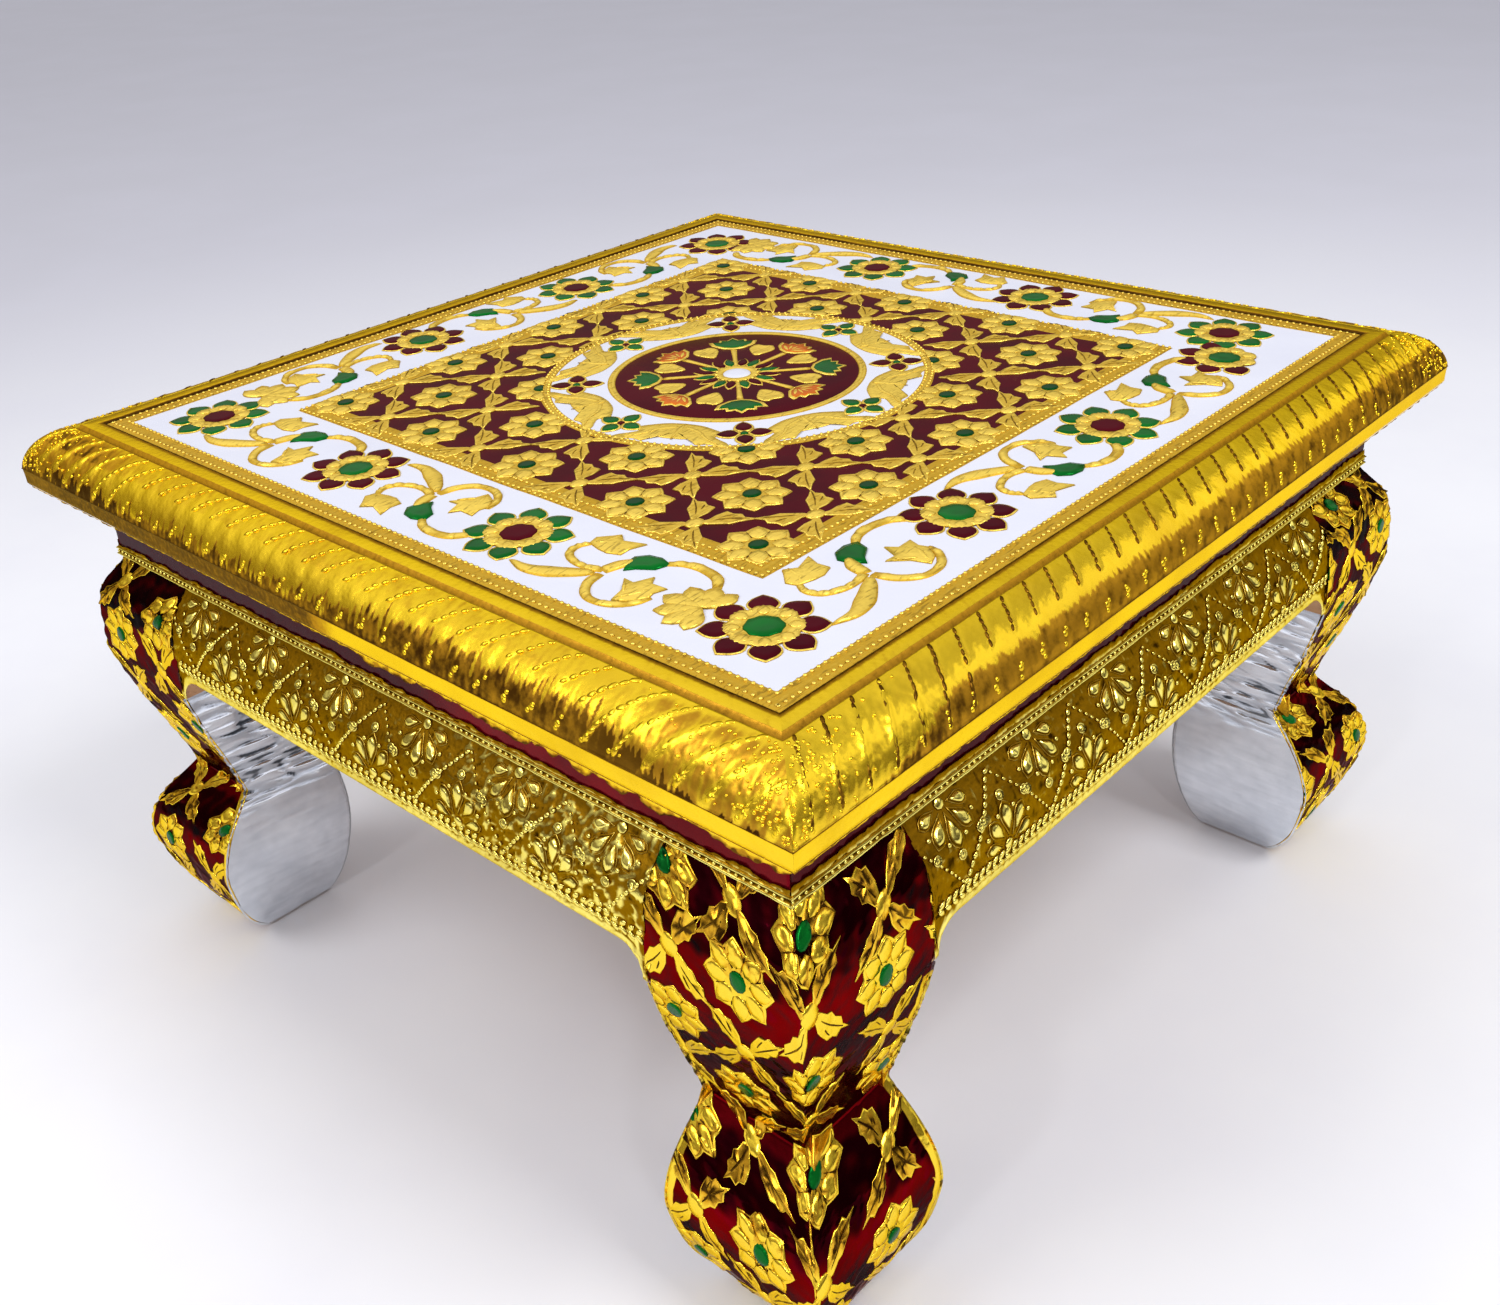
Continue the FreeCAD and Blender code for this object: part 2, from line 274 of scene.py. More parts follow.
def stroke(points: list[Pair], widths: list[float], count: int = 20, notch: float = 0.0) -> Patch:
    """A rounded cord laid flat along a smooth line.

    Across the line the rise follows half a wave, and along it small notches may
    dip the crest. The width runs through the given widths.

    Args:
        points: The line to follow.
        widths: Widths at even steps from start to end.
        count: Points along the line.
        notch: Spacing of the notches, or 0 for none.

    Returns:
        The stroke's patch.
    """
    line = smooth(points, count)
    ahead = np.gradient(line, axis=0)
    ahead /= np.linalg.norm(ahead, axis=1)[:, None] + 1e-9
    share = np.linspace(0, 1, count)
    half = np.interp(share, np.linspace(0, 1, len(widths)), widths) / 2
    across = np.array([-1.0, -0.74, 0.0, 0.74, 1.0])[:, None]
    lift = np.array([0.0, 0.75, 1.0, 0.75, 0.0])[:, None]
    run = np.r_[0, np.cumsum(np.linalg.norm(np.diff(line, axis=0), axis=1))]
    dip = 1 - 0.35 * (np.cos(run * 2 * np.pi / notch) > 0.3) if notch else np.ones(count)
    ends = np.minimum(1, 12 * np.minimum(share, 1 - share))
    u = line[:, 0] - across * half * ahead[:, 1]
    v = line[:, 1] + across * half * ahead[:, 0]
    return grid(u, v, lift * dip * ends)


def ripple(u: Array, v: Array, length: float, seed: int, stretch: float = 1.0) -> Array:
    """Smooth noise: the sum of sixteen sine waves with seeded directions and phases.

    Args:
        u: First coordinate.
        v: Second coordinate.
        length: Mean wavelength.
        seed: Seed of the directions, phases and wavelengths.
        stretch: How many times longer the waves are along v.

    Returns:
        Values mostly between -1 and 1.
    """
    rng = np.random.default_rng(seed)
    turn, phase = rng.uniform(0, 2 * np.pi, (2, 16))
    scale = length * rng.uniform(0.6, 1.7, 16)
    wave = u[..., None] * np.cos(turn) / scale + v[..., None] * np.sin(turn) / (scale * stretch)
    return np.sin(2 * np.pi * wave + phase).sum(-1) / 5.0


def folds(u: Array, v: Array, length: float, seed: int, sharp: float) -> Array:
    """Thin folds: 1 along the lines where smooth noise is zero, 0 beside them."""
    return np.clip(1 - sharp * np.abs(ripple(u, v, length, seed)), 0, 1)


def ramp(value: Array, start: float, end: float) -> Array:
    """An even rise from 0 at the start to 1 at the end, which may be the lower of the two."""
    return np.clip((value - start) / (end - start), 0, 1)


def ring_outline(radius: float, count: int) -> Array:
    """A circle's points."""
    turn = np.linspace(0, 2 * np.pi, count, endpoint=False)
    return radius * np.stack([np.cos(turn), np.sin(turn)], axis=-1)


def band(inner: Array, outer: Array, rises: list[float]) -> Patch:
    """A closed band between two outlines of equal count, its rises given from the outside in.

    Args:
        inner: The inner outline.
        outer: The outer outline.
        rises: A rise for each lane.

    Returns:
        The band's patch.
    """
    share = np.linspace(0, 1, len(rises))[:, None, None]
    lanes = outer * (1 - share) + inner * share
    lanes = np.concatenate([lanes, lanes[:, :1]], axis=1)
    rise = np.broadcast_to(np.array(rises)[:, None], lanes.shape[:2])
    return grid(lanes[..., 0], lanes[..., 1], rise)


# Tones of a leaf with a bright rim, from the foot up, and beads of 1 mm radius
RIM_TONES = [0.3, 1.0, 0.62, 0.58]
BEAD = plate(ring_outline(1.0, 8), [(1.0, 0.0), (0.72, 0.75)])
SMALL_BEAD = plate(ring_outline(1.0, 6), [(1.0, 0.0), (0.6, 0.9)])


def mirrored(half: Array) -> Array:
    """Close half an outline, which starts and ends at v = 0, with its mirror image."""
    return np.concatenate([half, (half * (1, -1))[-2:0:-1]])


def petal_outline(length: float, width: float, fullness: float = 1.0, count: int = 12) -> Array:
    """A pointed petal along +u from the origin: half-width follows a skewed half wave.

    Args:
        length: From foot to tip.
        width: Greatest width.
        fullness: Above 1, it is widest nearer the tip.
        count: Points round it.

    Returns:
        The closed outline.
    """
    share = np.linspace(0, 1, count // 2 + 1)
    half = width / 2 * np.sin(np.pi * share**fullness) ** 0.75
    return mirrored(np.stack([share * length, -half], axis=-1))


def petal(length: float, width: float, fullness: float = 1.0, count: int = 12) -> Patch:
    """A petal with a steep wall, a shoulder and a raised keel."""
    outline = petal_outline(length, width, fullness, count)
    return plate(outline, [(1.0, 0.0), (0.93, 0.7), (0.45, 0.9)], (length * 0.5, 0.0))


def teardrop(length: float, width: float) -> Patch:
    """A drop with a thin raised rim, a groove inside it with a painted shade, and a raised kernel with a
    painted highlight.

    Args:
        length: From foot to tip.
        width: Greatest width.

    Returns:
        The drop's patch.
    """
    outline = petal_outline(length, width, 1.6, 14)
    rings = [(1.0, 0.0), (0.93, 0.5), (0.84, 0.5), (0.7, 0.15), (0.56, 0.95), (0.25, 1.0)]
    # Tones: painted shade in the groove, painted highlight on the kernel
    return plate(outline, rings, (length * 0.6, 0.0), [0.2, 0.62, 0.35, 0.05, 1.0, 1.0])


# Half the step of a wheel of eight
HALF_STEP = math.pi / 8


def wheel(count: int, radius: float, turn: float = 0.0, size: float = 1.0) -> Array:
    """Places round a circle that point outward."""
    angle = turn + np.arange(count) * 2 * np.pi / count
    return np.stack([radius * np.cos(angle), radius * np.sin(angle), angle, np.full(count, size)], axis=-1)


def spots(u: Array, v: Array | float, turn: Array | float = 0.0, size: Array | float = 1.0) -> Array:
    """Rows of places, from values that are given one by one or once for all."""
    return np.column_stack(np.broadcast_arrays(u, v, turn, size))


# Sheets that carry the flat patterns


class Sheet(Protocol):
    """Anything that carries flat pattern points to their places in millimetres."""

    def place(self, points: Array) -> Array:
        """Carry rows of u, v, rise and tone to rows of x, y and z."""


@dataclass(frozen=True)
class Dents:
    """Shallow hollows shared by a sheet and all the ornament on it, in millimetres."""

    depth: float
    length: float
    seed: int

    def at(self, u: Array, v: Array) -> Array:
        """Depth of the hollows: two layers of smooth noise, never above the sheet.

        Args:
            u: First coordinate.
            v: Second coordinate.

        Returns:
            How deep the hollow is at each point.
        """
        broad = ripple(u, v, self.length, self.seed)
        fine = ripple(u, v, self.length * 0.4, self.seed + 1)
        return self.depth * np.clip(0.5 + 0.4 * broad + 0.25 * fine, 0, 1)


# How far any hollow may go below a foil's face, in millimetres, just short of the wood
FOIL_DEPTH = 0.88


@dataclass(frozen=True)
class FlatSheet:
    """The level top: crests lie at its level, and the ground lies a relief lower."""

    level: float
    relief: float

    def place(self, points: Array) -> Array:
        """Carry pattern points: x is u, y is v, z is the level less the missing rise."""
        u, v, rise, _ = points.T
        return np.stack([u, v, self.level + self.relief * (rise - 1)], axis=-1)


@dataclass
class Profile:
    """A section from its top or inner end outward and down, by offset and level."""

    line: Array
    run: Array = field(init=False)
    normals: Array = field(init=False)

    def __post_init__(self) -> None:
        """Measure along the line and find its outward normals."""
        steps = np.linalg.norm(np.diff(self.line, axis=0), axis=1)
        self.run = np.r_[0, np.cumsum(steps)]
        ahead = np.gradient(self.line, self.run, axis=0)
        ahead /= np.linalg.norm(ahead, axis=1)[:, None]
        self.normals = np.stack([-ahead[:, 1], ahead[:, 0]], axis=-1)

    def at(self, v: Array, depth: Array) -> tuple[Array, Array, Array, Array]:
        """Find points by their way down the line.

        Args:
            v: Minus the length down the line.
            depth: How far below the line, along its normal.

        Returns:
            Offset, level, and the normal's offset and level parts.
        """
        offset, level = (np.interp(-v, self.run, self.line[:, k]) for k in (0, 1))
        out, up = (np.interp(-v, self.run, self.normals[:, k]) for k in (0, 1))
        size = np.hypot(out, up)
        out, up = out / size, up / size
        return offset - depth * out, level - depth * up, out, up

    def offset_at(self, v: Array) -> Array:
        """The line's offset at each v."""
        return np.interp(-v, self.run, self.line[:, 0])

    def level_at(self, v: Array) -> Array:
        """The line's level at each v."""
        return np.interp(-v, self.run, self.line[:, 1])

    def offset_of(self, level: Array) -> Array:
        """The offset of each level, on a line that only goes down."""
        return np.interp(-level, -self.line[:, 1], self.line[:, 0])

    def v_at(self, level: float) -> float:
        """The v of a level, on a line that only goes down."""
        return -float(np.interp(-level, -self.line[:, 1], self.run))


def straight(offset: float, high: float, low: float, count: int) -> Profile:
    """A section that runs straight down from one level to another."""
    return Profile(np.column_stack([np.full(count, offset), np.linspace(high, low, count)]))


def turned(x: Array, y: Array, z: Array, quarters: int) -> Array:
    """Turn points about the upright axis by quarter turns."""
    c, s = ((1, 0), (0, 1), (-1, 0), (0, -1))[quarters]
    return np.stack([c * x - s * y, s * x + c * y, z], axis=-1)


@dataclass
class RailSheet:
    """A side of the square: the profile run along it, cut on the mitre or at a reach."""

    profile: Profile
    relief: float
    quarters: int
    reach: float | None = None
    dents: Dents | None = None

    def place(self, points: Array) -> Array:
        """Carry pattern points: u along the side, v down the profile.

        Args:
            points: Rows of u, v, rise and tone.

        Returns:
            Rows of x, y and z.
        """
        u, v, rise, _ = points.T
        depth = self.relief * (1 - rise)
        if self.dents is not None:
            offset, _, out, _ = self.profile.at(v, depth)
            fade = ramp(offset - np.abs(u), 0, 2.0)
            depth = np.minimum(depth + fade * self.dents.at(u, v), FOIL_DEPTH * out)
        offset, level, _, _ = self.profile.at(v, depth)
        limit = offset if self.reach is None else self.reach
        return turned(np.clip(u, -limit, limit), -offset, level, self.quarters)


@dataclass
class LegSheet:
    """The two outer faces of a leg: u is the distance round from the corner ridge."""

    profile: Profile
    inner: Profile
    relief: float
    quarters: int
    dents: Dents
    crease_level: float
    crease_depth: float = 0.42
    crease_spread: float = 10.0
    crease_slant: float = 0.42
    ridge_width: float = 1.6

    def creases(self, u: Array, v: Array, level: Array) -> Array:
        """Folds that meet in a V on the ridge, deepest about one level.

        Args:
            u: Distance round from the ridge.
            v: Place down the leg.
            level: Level of each point.

        Returns:
            How deep the folds are at each point.
        """
        slant = v - self.crease_slant * np.abs(u)
        near = np.exp(-(((level - self.crease_level) / self.crease_spread) ** 2))
        waves = ripple(0.15 * u, slant, 2.9, self.dents.seed + 6)
        return self.crease_depth * near * np.clip(0.5 + 0.6 * waves, 0, 1)

    def place(self, points: Array) -> Array:
        """Carry pattern points round the ridge, mitring the relief across it.

        Args:
            points: Rows of u, v, rise and tone.

        Returns:
            Rows of x, y and z.
        """
        u, v, rise, _ = points.T
        depth = self.relief * (1 - rise)
        offset, level, out, up = self.profile.at(v, 0 * depth)
        sunk = depth + self.dents.at(u, v) + self.creases(u, v, level)
        depth = np.minimum(sunk, FOIL_DEPTH * out)
        inside = self.inner.offset_of(level)
        u = np.clip(u, inside - offset, offset - inside)
        front = np.clip(0.5 - u / self.ridge_width, 0, 1)
        right = np.clip(0.5 + u / self.ridge_width, 0, 1)
        front, right = np.minimum(1, 2 * front), np.minimum(1, 2 * right)
        x = offset + np.minimum(u, 0) - depth * out * right
        y = -offset + np.maximum(u, 0) + depth * out * front
        return turned(x, y, level - depth * up, self.quarters)


@dataclass
class LiningSheet:
    """The two inner faces of a leg: u is the distance round from the inner ridge."""

    inner: Profile
    relief: float
    quarters: int

    def place(self, points: Array) -> Array:
        """Carry pattern points: the faces look back towards the table's middle.

        Args:
            points: Rows of u, v, rise and tone.

        Returns:
            Rows of x, y and z.
        """
        u, v, rise, _ = points.T
        depth = self.relief * (1 - rise)
        near = self.inner.offset_at(v) + depth
        x = np.where(u < 0, near - u, near)
        y = np.where(u < 0, -near, -near - u)
        return turned(x, y, self.inner.level_at(v), self.quarters)


# Finishes


class Graph:
    """Adds shader nodes to one material or world and joins their sockets."""

    def __init__(self, owner: bpy.types.Material | bpy.types.World) -> None:
        """Empty the owner's nodes.

        Args:
            owner: The material or world.
        """
        self.owner = owner
        owner.use_nodes = True
        self.tree = owner.node_tree
        self.tree.nodes.clear()

    def add(self, kind: str, inputs: Inputs | None = None, **settings: object) -> bpy.types.Node:
        """Add a node.

        Args:
            kind: Type of the node, without its common prefix.
            inputs: Values or sockets for its inputs, by name or number.
            settings: Its own settings.

        Returns:
            The node.
        """
        node = self.tree.nodes.new("ShaderNode" + kind)
        for name, value in settings.items():
            setattr(node, name, value)
        for key, value in (inputs or {}).items():
            if isinstance(value, bpy.types.NodeSocket):
                self.tree.links.new(value, node.inputs[key])
            else:
                node.inputs[key].default_value = value
        return node

    def place(self) -> Socket:
        """The object's own coordinates."""
        return self.add("TexCoord").outputs["Object"]

    def noise(self, vector: Socket, scale: float, detail: float = 3.0, rough: float = 0.55) -> Socket:
        """Cloudy noise at a scale per metre."""
        inputs = {"Vector": vector, "Scale": scale, "Detail": detail, "Roughness": rough}
        return self.add("TexNoise", inputs).outputs["Fac"]

    def stretched(self, vector: Socket, scale: Triple) -> Socket:
        """Coordinates scaled along each axis."""
        return self.add("Mapping", {"Vector": vector, "Scale": scale}).outputs["Vector"]

    def spread(self, value: Socket, span: Pair, ends: Pair, kind: str = "LINEAR") -> Socket:
        """Carry a value from one span to another.

        Args:
            value: The value.
            span: Where it starts and ends.
            ends: What these become.
            kind: How it runs between them.

        Returns:
            The new value.
        """
        names = ("From Min", "From Max", "To Min", "To Max")
        inputs = {"Value": value, **dict(zip(names, (*span, *ends)))}
        return self.add("MapRange", inputs, interpolation_type=kind).outputs["Result"]

    def steps(self, value: Socket, low: float, high: float) -> Socket:
        """A smooth step from 0 at low to 1 at high."""
        return self.spread(value, (low, high), (0.0, 1.0), "SMOOTHSTEP")

    def mix(self, share: object, first: object, second: object) -> Socket:
        """Mix two colours by a share."""
        node = self.add("Mix", {0: share, 6: first, 7: second}, data_type="RGBA")
        return node.outputs[2]

    def sum(self, first: object, second: object, operation: str = "ADD") -> Socket:
        """Join two numbers by an operation."""
        return self.add("Math", {0: first, 1: second}, operation=operation).outputs[0]

    def bump(self, height: Socket, distance: float, strength: float, below: object = None) -> Socket:
        """Turn a height in metres times distance into a shaken normal.

        Args:
            height: The height.
            distance: Metres for a height of 1.
            strength: Share of the tilt to keep.
            below: A normal to build on.

        Returns:
            The normal.
        """
        inputs: Inputs = {"Height": height, "Distance": distance, "Strength": strength}
        if below is not None:
            inputs["Normal"] = below
        return self.add("Bump", inputs).outputs["Normal"]

    def finish(self, **inputs: object) -> bpy.types.Material:
        """Close a material with one principled shader.

        Args:
            inputs: The shader's inputs, with _ for each space.

        Returns:
            The material.
        """
        shader = self.add("BsdfPrincipled", {k.replace("_", " "): v for k, v in inputs.items()})
        self.add("OutputMaterial", {0: shader.outputs[0]})
        return self.owner


def rgb(red: float, green: float, blue: float) -> Colour:
    """A shader colour from display values of 0 to 255.

    Args:
        red: Red.
        green: Green.
        blue: Blue.

    Returns:
        The linear colour, with full alpha.
    """
    shares = (value / 255 for value in (red, green, blue))
    linear = (s / 12.92 if s <= 10 / 255 else ((s + 0.055) / 1.055) ** 2.4 for s in shares)
    return (*linear, 1.0)


@dataclass(frozen=True)
class FoilFinish:
    """Embossed metal foil: crests with a painted highlight, grounds with a painted shade, and fine crinkles.
    """

    name: str
    bright: Colour
    mid: Colour
    dark: Colour
    roughness: float
    grain: float
    depth: float
    dark_below: float
    bright_above: float
    metal: float = 0.9
    etch: float = 0.0
    dull: float = 1.5
    edge: Colour = rgb(255, 230, 146)

    def make(self) -> bpy.types.Material:
        """Build the foil: colour and polish follow the crest attribute, which carries painted shade, painted
        highlights and painted reflections as well as the foil's own tone, broken up by noise.

        Returns:
            The material.
        """
        g = Graph(bpy.data.materials.new(self.name))
        place = g.place()
        crest = g.add("Attribute", attribute_name="crest").outputs["Fac"]
        cloud = g.noise(place, self.grain, 4.0, 0.6)
        flakes = g.add("TexVoronoi", {"Vector": place, "Scale": self.grain * 1.3}, feature="SMOOTH_F1")
        shaken = g.sum(crest, g.sum(g.sum(cloud, 0.5, "SUBTRACT"), 0.35, "MULTIPLY"))
        # By tone: the dark colour is painted shade, the bright one painted highlight or reflection
        low = g.mix(g.steps(shaken, self.dark_below - 0.12, self.dark_below + 0.12), self.dark, self.mid)
        colour = g.mix(g.steps(shaken, self.bright_above - 0.2, self.bright_above + 0.2), low, self.bright)
        patchy = g.mix(g.steps(g.noise(place, 45.0, 2.0), 0.4, 0.8), colour, g.mix(0.3, colour, self.mid))
        height = self.depth * MM
        normal = g.bump(flakes.outputs["Distance"], height * 1.4, 0.8, g.bump(cloud, height, 0.7))
        if self.etch:
            slanted = {"Vector": place, "Rotation": (0.0, 0.0, 0.7), "Scale": (1.0, 0.16, 1.0)}
            lines = g.noise(g.add("Mapping", slanted).outputs[0], self.etch, 2.0, 0.5)
            patchy = g.mix(g.steps(lines, 0.56, 0.68), patchy, g.mix(0.45, patchy, self.dark))
            normal = g.bump(lines, height * 1.5, 0.8, normal)
        rough = g.spread(shaken, (0.3, 0.8), (self.roughness * self.dull, self.roughness * 0.8))
        return g.finish(
            Base_Color=patchy, Metallic=self.metal, Roughness=rough, Specular_Tint=self.edge, Normal=normal
        )


@dataclass(frozen=True)
class EnamelFinish:
    """Enamel or lacquer poured between raised lines, darker where its tone is low: pooled along its foot, and
    as painted shade on the neck band.
    """

    name: str
    body: Colour
    deep: Colour
    roughness: float
    metal: float
    swell: float
    shine: float = 0.15

    def make(self) -> bpy.types.Material:
        """Build the enamel: cloudy body over foil, with swells and fine ripples.

        Returns:
            The material.
        """
        g = Graph(bpy.data.materials.new(self.name))
        place = g.place()
        crest = g.add("Attribute", attribute_name="crest").outputs["Fac"]
        cloud = g.noise(place, 55.0, 3.0)
        body = g.mix(g.steps(cloud, 0.3, 0.66), g.mix(0.5, self.deep, self.body), self.body)
        # A low tone gives the deep colour: pooled enamel at the foot, painted shade on the neck band
        colour = g.mix(g.steps(crest, 0.1, 0.6), self.deep, body)
        swells = g.bump(g.noise(place, 170.0, 2.0, 0.4), self.swell * MM, 0.9)
        normal = g.bump(g.noise(place, 620.0, 2.0), self.swell * MM * 0.12, 0.8, swells)
        rough = g.spread(cloud, (0.0, 1.0), (self.roughness * 0.7, self.roughness * 1.4))
        return g.finish(
            Base_Color=colour,
            Metallic=self.metal,
            Roughness=rough,
            Specular_IOR_Level=self.shine,
            Specular_Tint=self.body if self.metal else (1.0, 1.0, 1.0, 1.0),
            Normal=normal,
        )


@dataclass(frozen=True)
class WoodFinish:
    """Sawn plain wood for what no foil covers."""

    name: str
    early: Colour
    late: Colour

    def make(self) -> bpy.types.Material:
        """Build the wood: stretched rings, pores and a rough sawn surface.

        Returns:
            The material.
        """
        g = Graph(bpy.data.materials.new(self.name))
        place = g.place()
        long = g.stretched(place, (1.0, 9.0, 9.0))
        bend = g.add("TexNoise", {"Vector": long, "Scale": 6.0, "Detail": 3.0}).outputs["Color"]
        rings = g.add(
            "TexWave", {"Vector": long, "Scale": 5.0, "Distortion": 6.0, "Detail": 3.0}, bands_direction="Y"
        ).outputs["Fac"]
        pores = g.noise(g.stretched(place, (60.0, 900.0, 900.0)), 1.0, 2.0)
        tint = g.mix(g.sum(rings, 0.45, "MULTIPLY"), self.early, self.late)
        tint = g.mix(g.steps(pores, 0.62, 0.75), tint, self.late)
        tint = g.mix(0.06, tint, bend)
        normal = g.bump(pores, 0.0003, 0.5)
        return g.finish(Base_Color=tint, Roughness=0.68, Normal=normal)


@dataclass(frozen=True)
class SteelFinish:
    """Zinc plated steel for the hidden fixings."""

    name: str
    tint: Colour

    def make(self) -> bpy.types.Material:
        """Build the steel: mottled plating.

        Returns:
            The material.
        """
        g = Graph(bpy.data.materials.new(self.name))
        cloud = g.noise(g.place(), 900.0)
        colour = g.mix(cloud, self.tint, rgb(150, 148, 140))
        return g.finish(Base_Color=colour, Metallic=1.0, Roughness=0.35, Normal=g.bump(cloud, 0.00005, 0.5))


# Each foil's dark colour serves as painted shade, its bright colour as painted highlight
FINISHES: dict[Finish, FoilFinish | EnamelFinish | WoodFinish | SteelFinish] = {
    Finish.GOLD: FoilFinish(
        "moulding_gold", rgb(255, 214, 46), rgb(190, 138, 34), rgb(74, 42, 10), 0.26, 620, 0.05, 0.22, 0.55
    ),
    Finish.TOP_GOLD: FoilFinish(
        "top_gold", rgb(247, 213, 92), rgb(199, 158, 44), rgb(82, 53, 10), 0.36, 700, 0.07, 0.1, 0.62,
        metal=0.55, etch=1500.0
    ),
    Finish.AMBER: FoilFinish(
        "apron_amber", rgb(255, 238, 120), rgb(142, 102, 14), rgb(48, 26, 4), 0.19, 640, 0.07, 0.2, 0.66,
        metal=1.0, dull=2.4
    ),
    Finish.LEG_GOLD: FoilFinish(
        "leg_gold", rgb(255, 218, 62), rgb(224, 168, 42), rgb(48, 22, 5), 0.16, 520, 0.07, 0.14, 0.4
    ),
    Finish.WHITE: EnamelFinish("white_enamel", rgb(208, 210, 222), rgb(202, 204, 218), 0.4, 0.0, 0.03),
    Finish.MAROON: EnamelFinish("maroon_enamel", rgb(72, 6, 19), rgb(40, 3, 11), 0.3, 0.0, 0.08, 0.03),
    Finish.LEG_MAROON: EnamelFinish("leg_maroon", rgb(122, 7, 18), rgb(44, 2, 9), 0.12, 0.9, 0.3),
    Finish.GREEN: EnamelFinish("green_enamel", rgb(10, 104, 34), rgb(4, 56, 20), 0.16, 0.3, 0.15, 0.3),
    Finish.COPPER: EnamelFinish("copper_enamel", rgb(216, 116, 34), rgb(160, 74, 18), 0.2, 0.4, 0.15, 0.3),
    Finish.PAINT: EnamelFinish("maroon_paint", rgb(124, 10, 25), rgb(70, 5, 17), 0.2, 0.5, 0.12),
    Finish.SILVER: FoilFinish(
        "silver_foil", rgb(244, 249, 255), rgb(206, 213, 222), rgb(62, 66, 72), 0.15, 150, 0.03, 0.14, 0.56,
        edge=rgb(255, 255, 255)
    ),
    Finish.WOOD: WoodFinish("bare_wood", rgb(196, 150, 104), rgb(146, 98, 58)),
    Finish.STEEL: SteelFinish("plated_steel", rgb(196, 196, 190)),
}


class Wardrobe:
    """Builds each finish once and puts it on pieces."""

    def __init__(self) -> None:
        """Start with nothing built."""
        self.built: dict[Finish, bpy.types.Material] = {}

    def material(self, finish: Finish) -> bpy.types.Material:
        """The material of a finish, built when first asked for.

        Args:
            finish: The finish.

        Returns:
            Its material.
        """
        if finish not in self.built:
            self.built[finish] = FINISHES[finish].make()
        return self.built[finish]

    def dress_node(self, node: str, finish: Finish) -> None:
        """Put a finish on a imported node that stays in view.

        Args:
            node: Name of the node.
            finish: The finish to put on it.
        """
        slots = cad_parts[node].data.materials
        slots.clear()
        slots.append(self.material(finish))


WARDROBE = Wardrobe()


def show(name: str, data: bpy.types.ID) -> bpy.types.Object:
    """Put data into the scene as an object.

    Args:
        name: Name of the object.
        data: Its mesh, lamp or camera.

    Returns:
        The object.
    """
    made = bpy.data.objects.new(name, data)
    bpy.context.scene.collection.objects.link(made)
    return made


def piece(name: str, sheet: Sheet, patch: Patch, finish: Finish, replaces: tuple[str, ...] = ()) -> None:
    """Make one finished piece.

    Args:
        name: The piece's name.
        sheet: What carries the flat pattern.
        patch: The flat pattern.
        finish: Its finish.
        replaces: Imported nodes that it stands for.
    """
    mesh = bpy.data.meshes.new(name)
    points = sheet.place(patch.points) * MM
    mesh.vertices.add(len(points))
    mesh.vertices.foreach_set("co", points.astype(np.float32).ravel())
    faces = patch.faces.astype(np.int32)
    mesh.loops.add(faces.size)
    mesh.loops.foreach_set("vertex_index", faces.ravel())
    mesh.polygons.add(len(faces))
    mesh.polygons.foreach_set("loop_start", np.arange(len(faces), dtype=np.int32) * 3)
    mesh.polygons.foreach_set("use_smooth", np.ones(len(faces), dtype=bool))
    crest = mesh.attributes.new("crest", "FLOAT", "POINT")
    crest.data.foreach_set("value", patch.points[:, 3].astype(np.float32))
    mesh.update()
    mesh.validate()
    mesh.materials.append(WARDROBE.material(finish))
    made = show(name, mesh)
    if replaces:
        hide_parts(*replaces)
    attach(made, "root")
    LOG.info("%s: %d triangles, %s", name, len(faces), finish.label)


# Points of a section whose levels are closer than this, in millimetres, are one
SAME_LEVEL = 0.02


def node_profile(node: str, test: Callable[[Array], Array], grow: float) -> Profile:
    """Read a section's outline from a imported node.

    Args:
        node: The node to read.
        test: Picks the wanted points from rows of x, y and z in millimetres.
        grow: How far outward to move the line, in millimetres.

    Returns:
        The outline from top to bottom, by offset and level.
    """
    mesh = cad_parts[node].data
    co = np.zeros(len(mesh.vertices) * 3, np.float32)
    mesh.vertices.foreach_get("co", co)
    points = co.reshape(-1, 3).astype(float) / MM
    chosen = points[test(points)]
    line = np.stack([-chosen[:, 1], chosen[:, 2]], axis=-1)
    line = np.unique(np.round(line, 3), axis=0)
    line = line[np.argsort(-line[:, 1])]
    keep = np.r_[True, np.diff(-line[:, 1]) > SAME_LEVEL]
    return Profile(line[keep] + (grow, 0.0))


# The top


# The border's flowers, and whether their petals are green round a maroon heart or the other way
FLOWERS: list[tuple[float, float, bool]] = [
    (-107.2, -109.0, True), (-39.2, -108.6, False), (28.3, -109.0, True), (107.2, -108.5, False),
    (107.2, -39.4, False), (108.1, 27.7, True), (98.5, 111.2, True), (30.9, 111.8, False),
    (-35.1, 111.8, True), (-107.5, 105.5, False), (-111.8, 37.0, True), (-112.2, -30.5, False),
]
# The flower crowded by its neighbour at the back right: place, kind and the petals that show
CROWDED_FLOWER = (108.7, 91.5, False, range(3, 8))
# What each side's three vines run between; the middle one is turned over
VINE_RUNS: list[list[Pair]] = [
    [(-107.2, -109.0), (-39.2, -108.6), (28.3, -109.0), (96.0, -108.5)],
    [(107.2, -108.5), (107.2, -39.4), (108.1, 27.7), (108.1, 95.0)],
    [(98.5, 111.2), (30.9, 111.8), (-35.1, 111.8), (-103.0, 108.0)],
    [(-109.5, 105.5), (-111.8, 37.0), (-112.2, -30.5), (-109.2, -98.0)],
]
# Fans of leaves beside three corner flowers: place and turn
CLUSTERS: list[Triple] = [(-95.2, 110.9, 0.2), (-110.9, -91.5, 1.4), (91.0, -110.5, 3.2)]
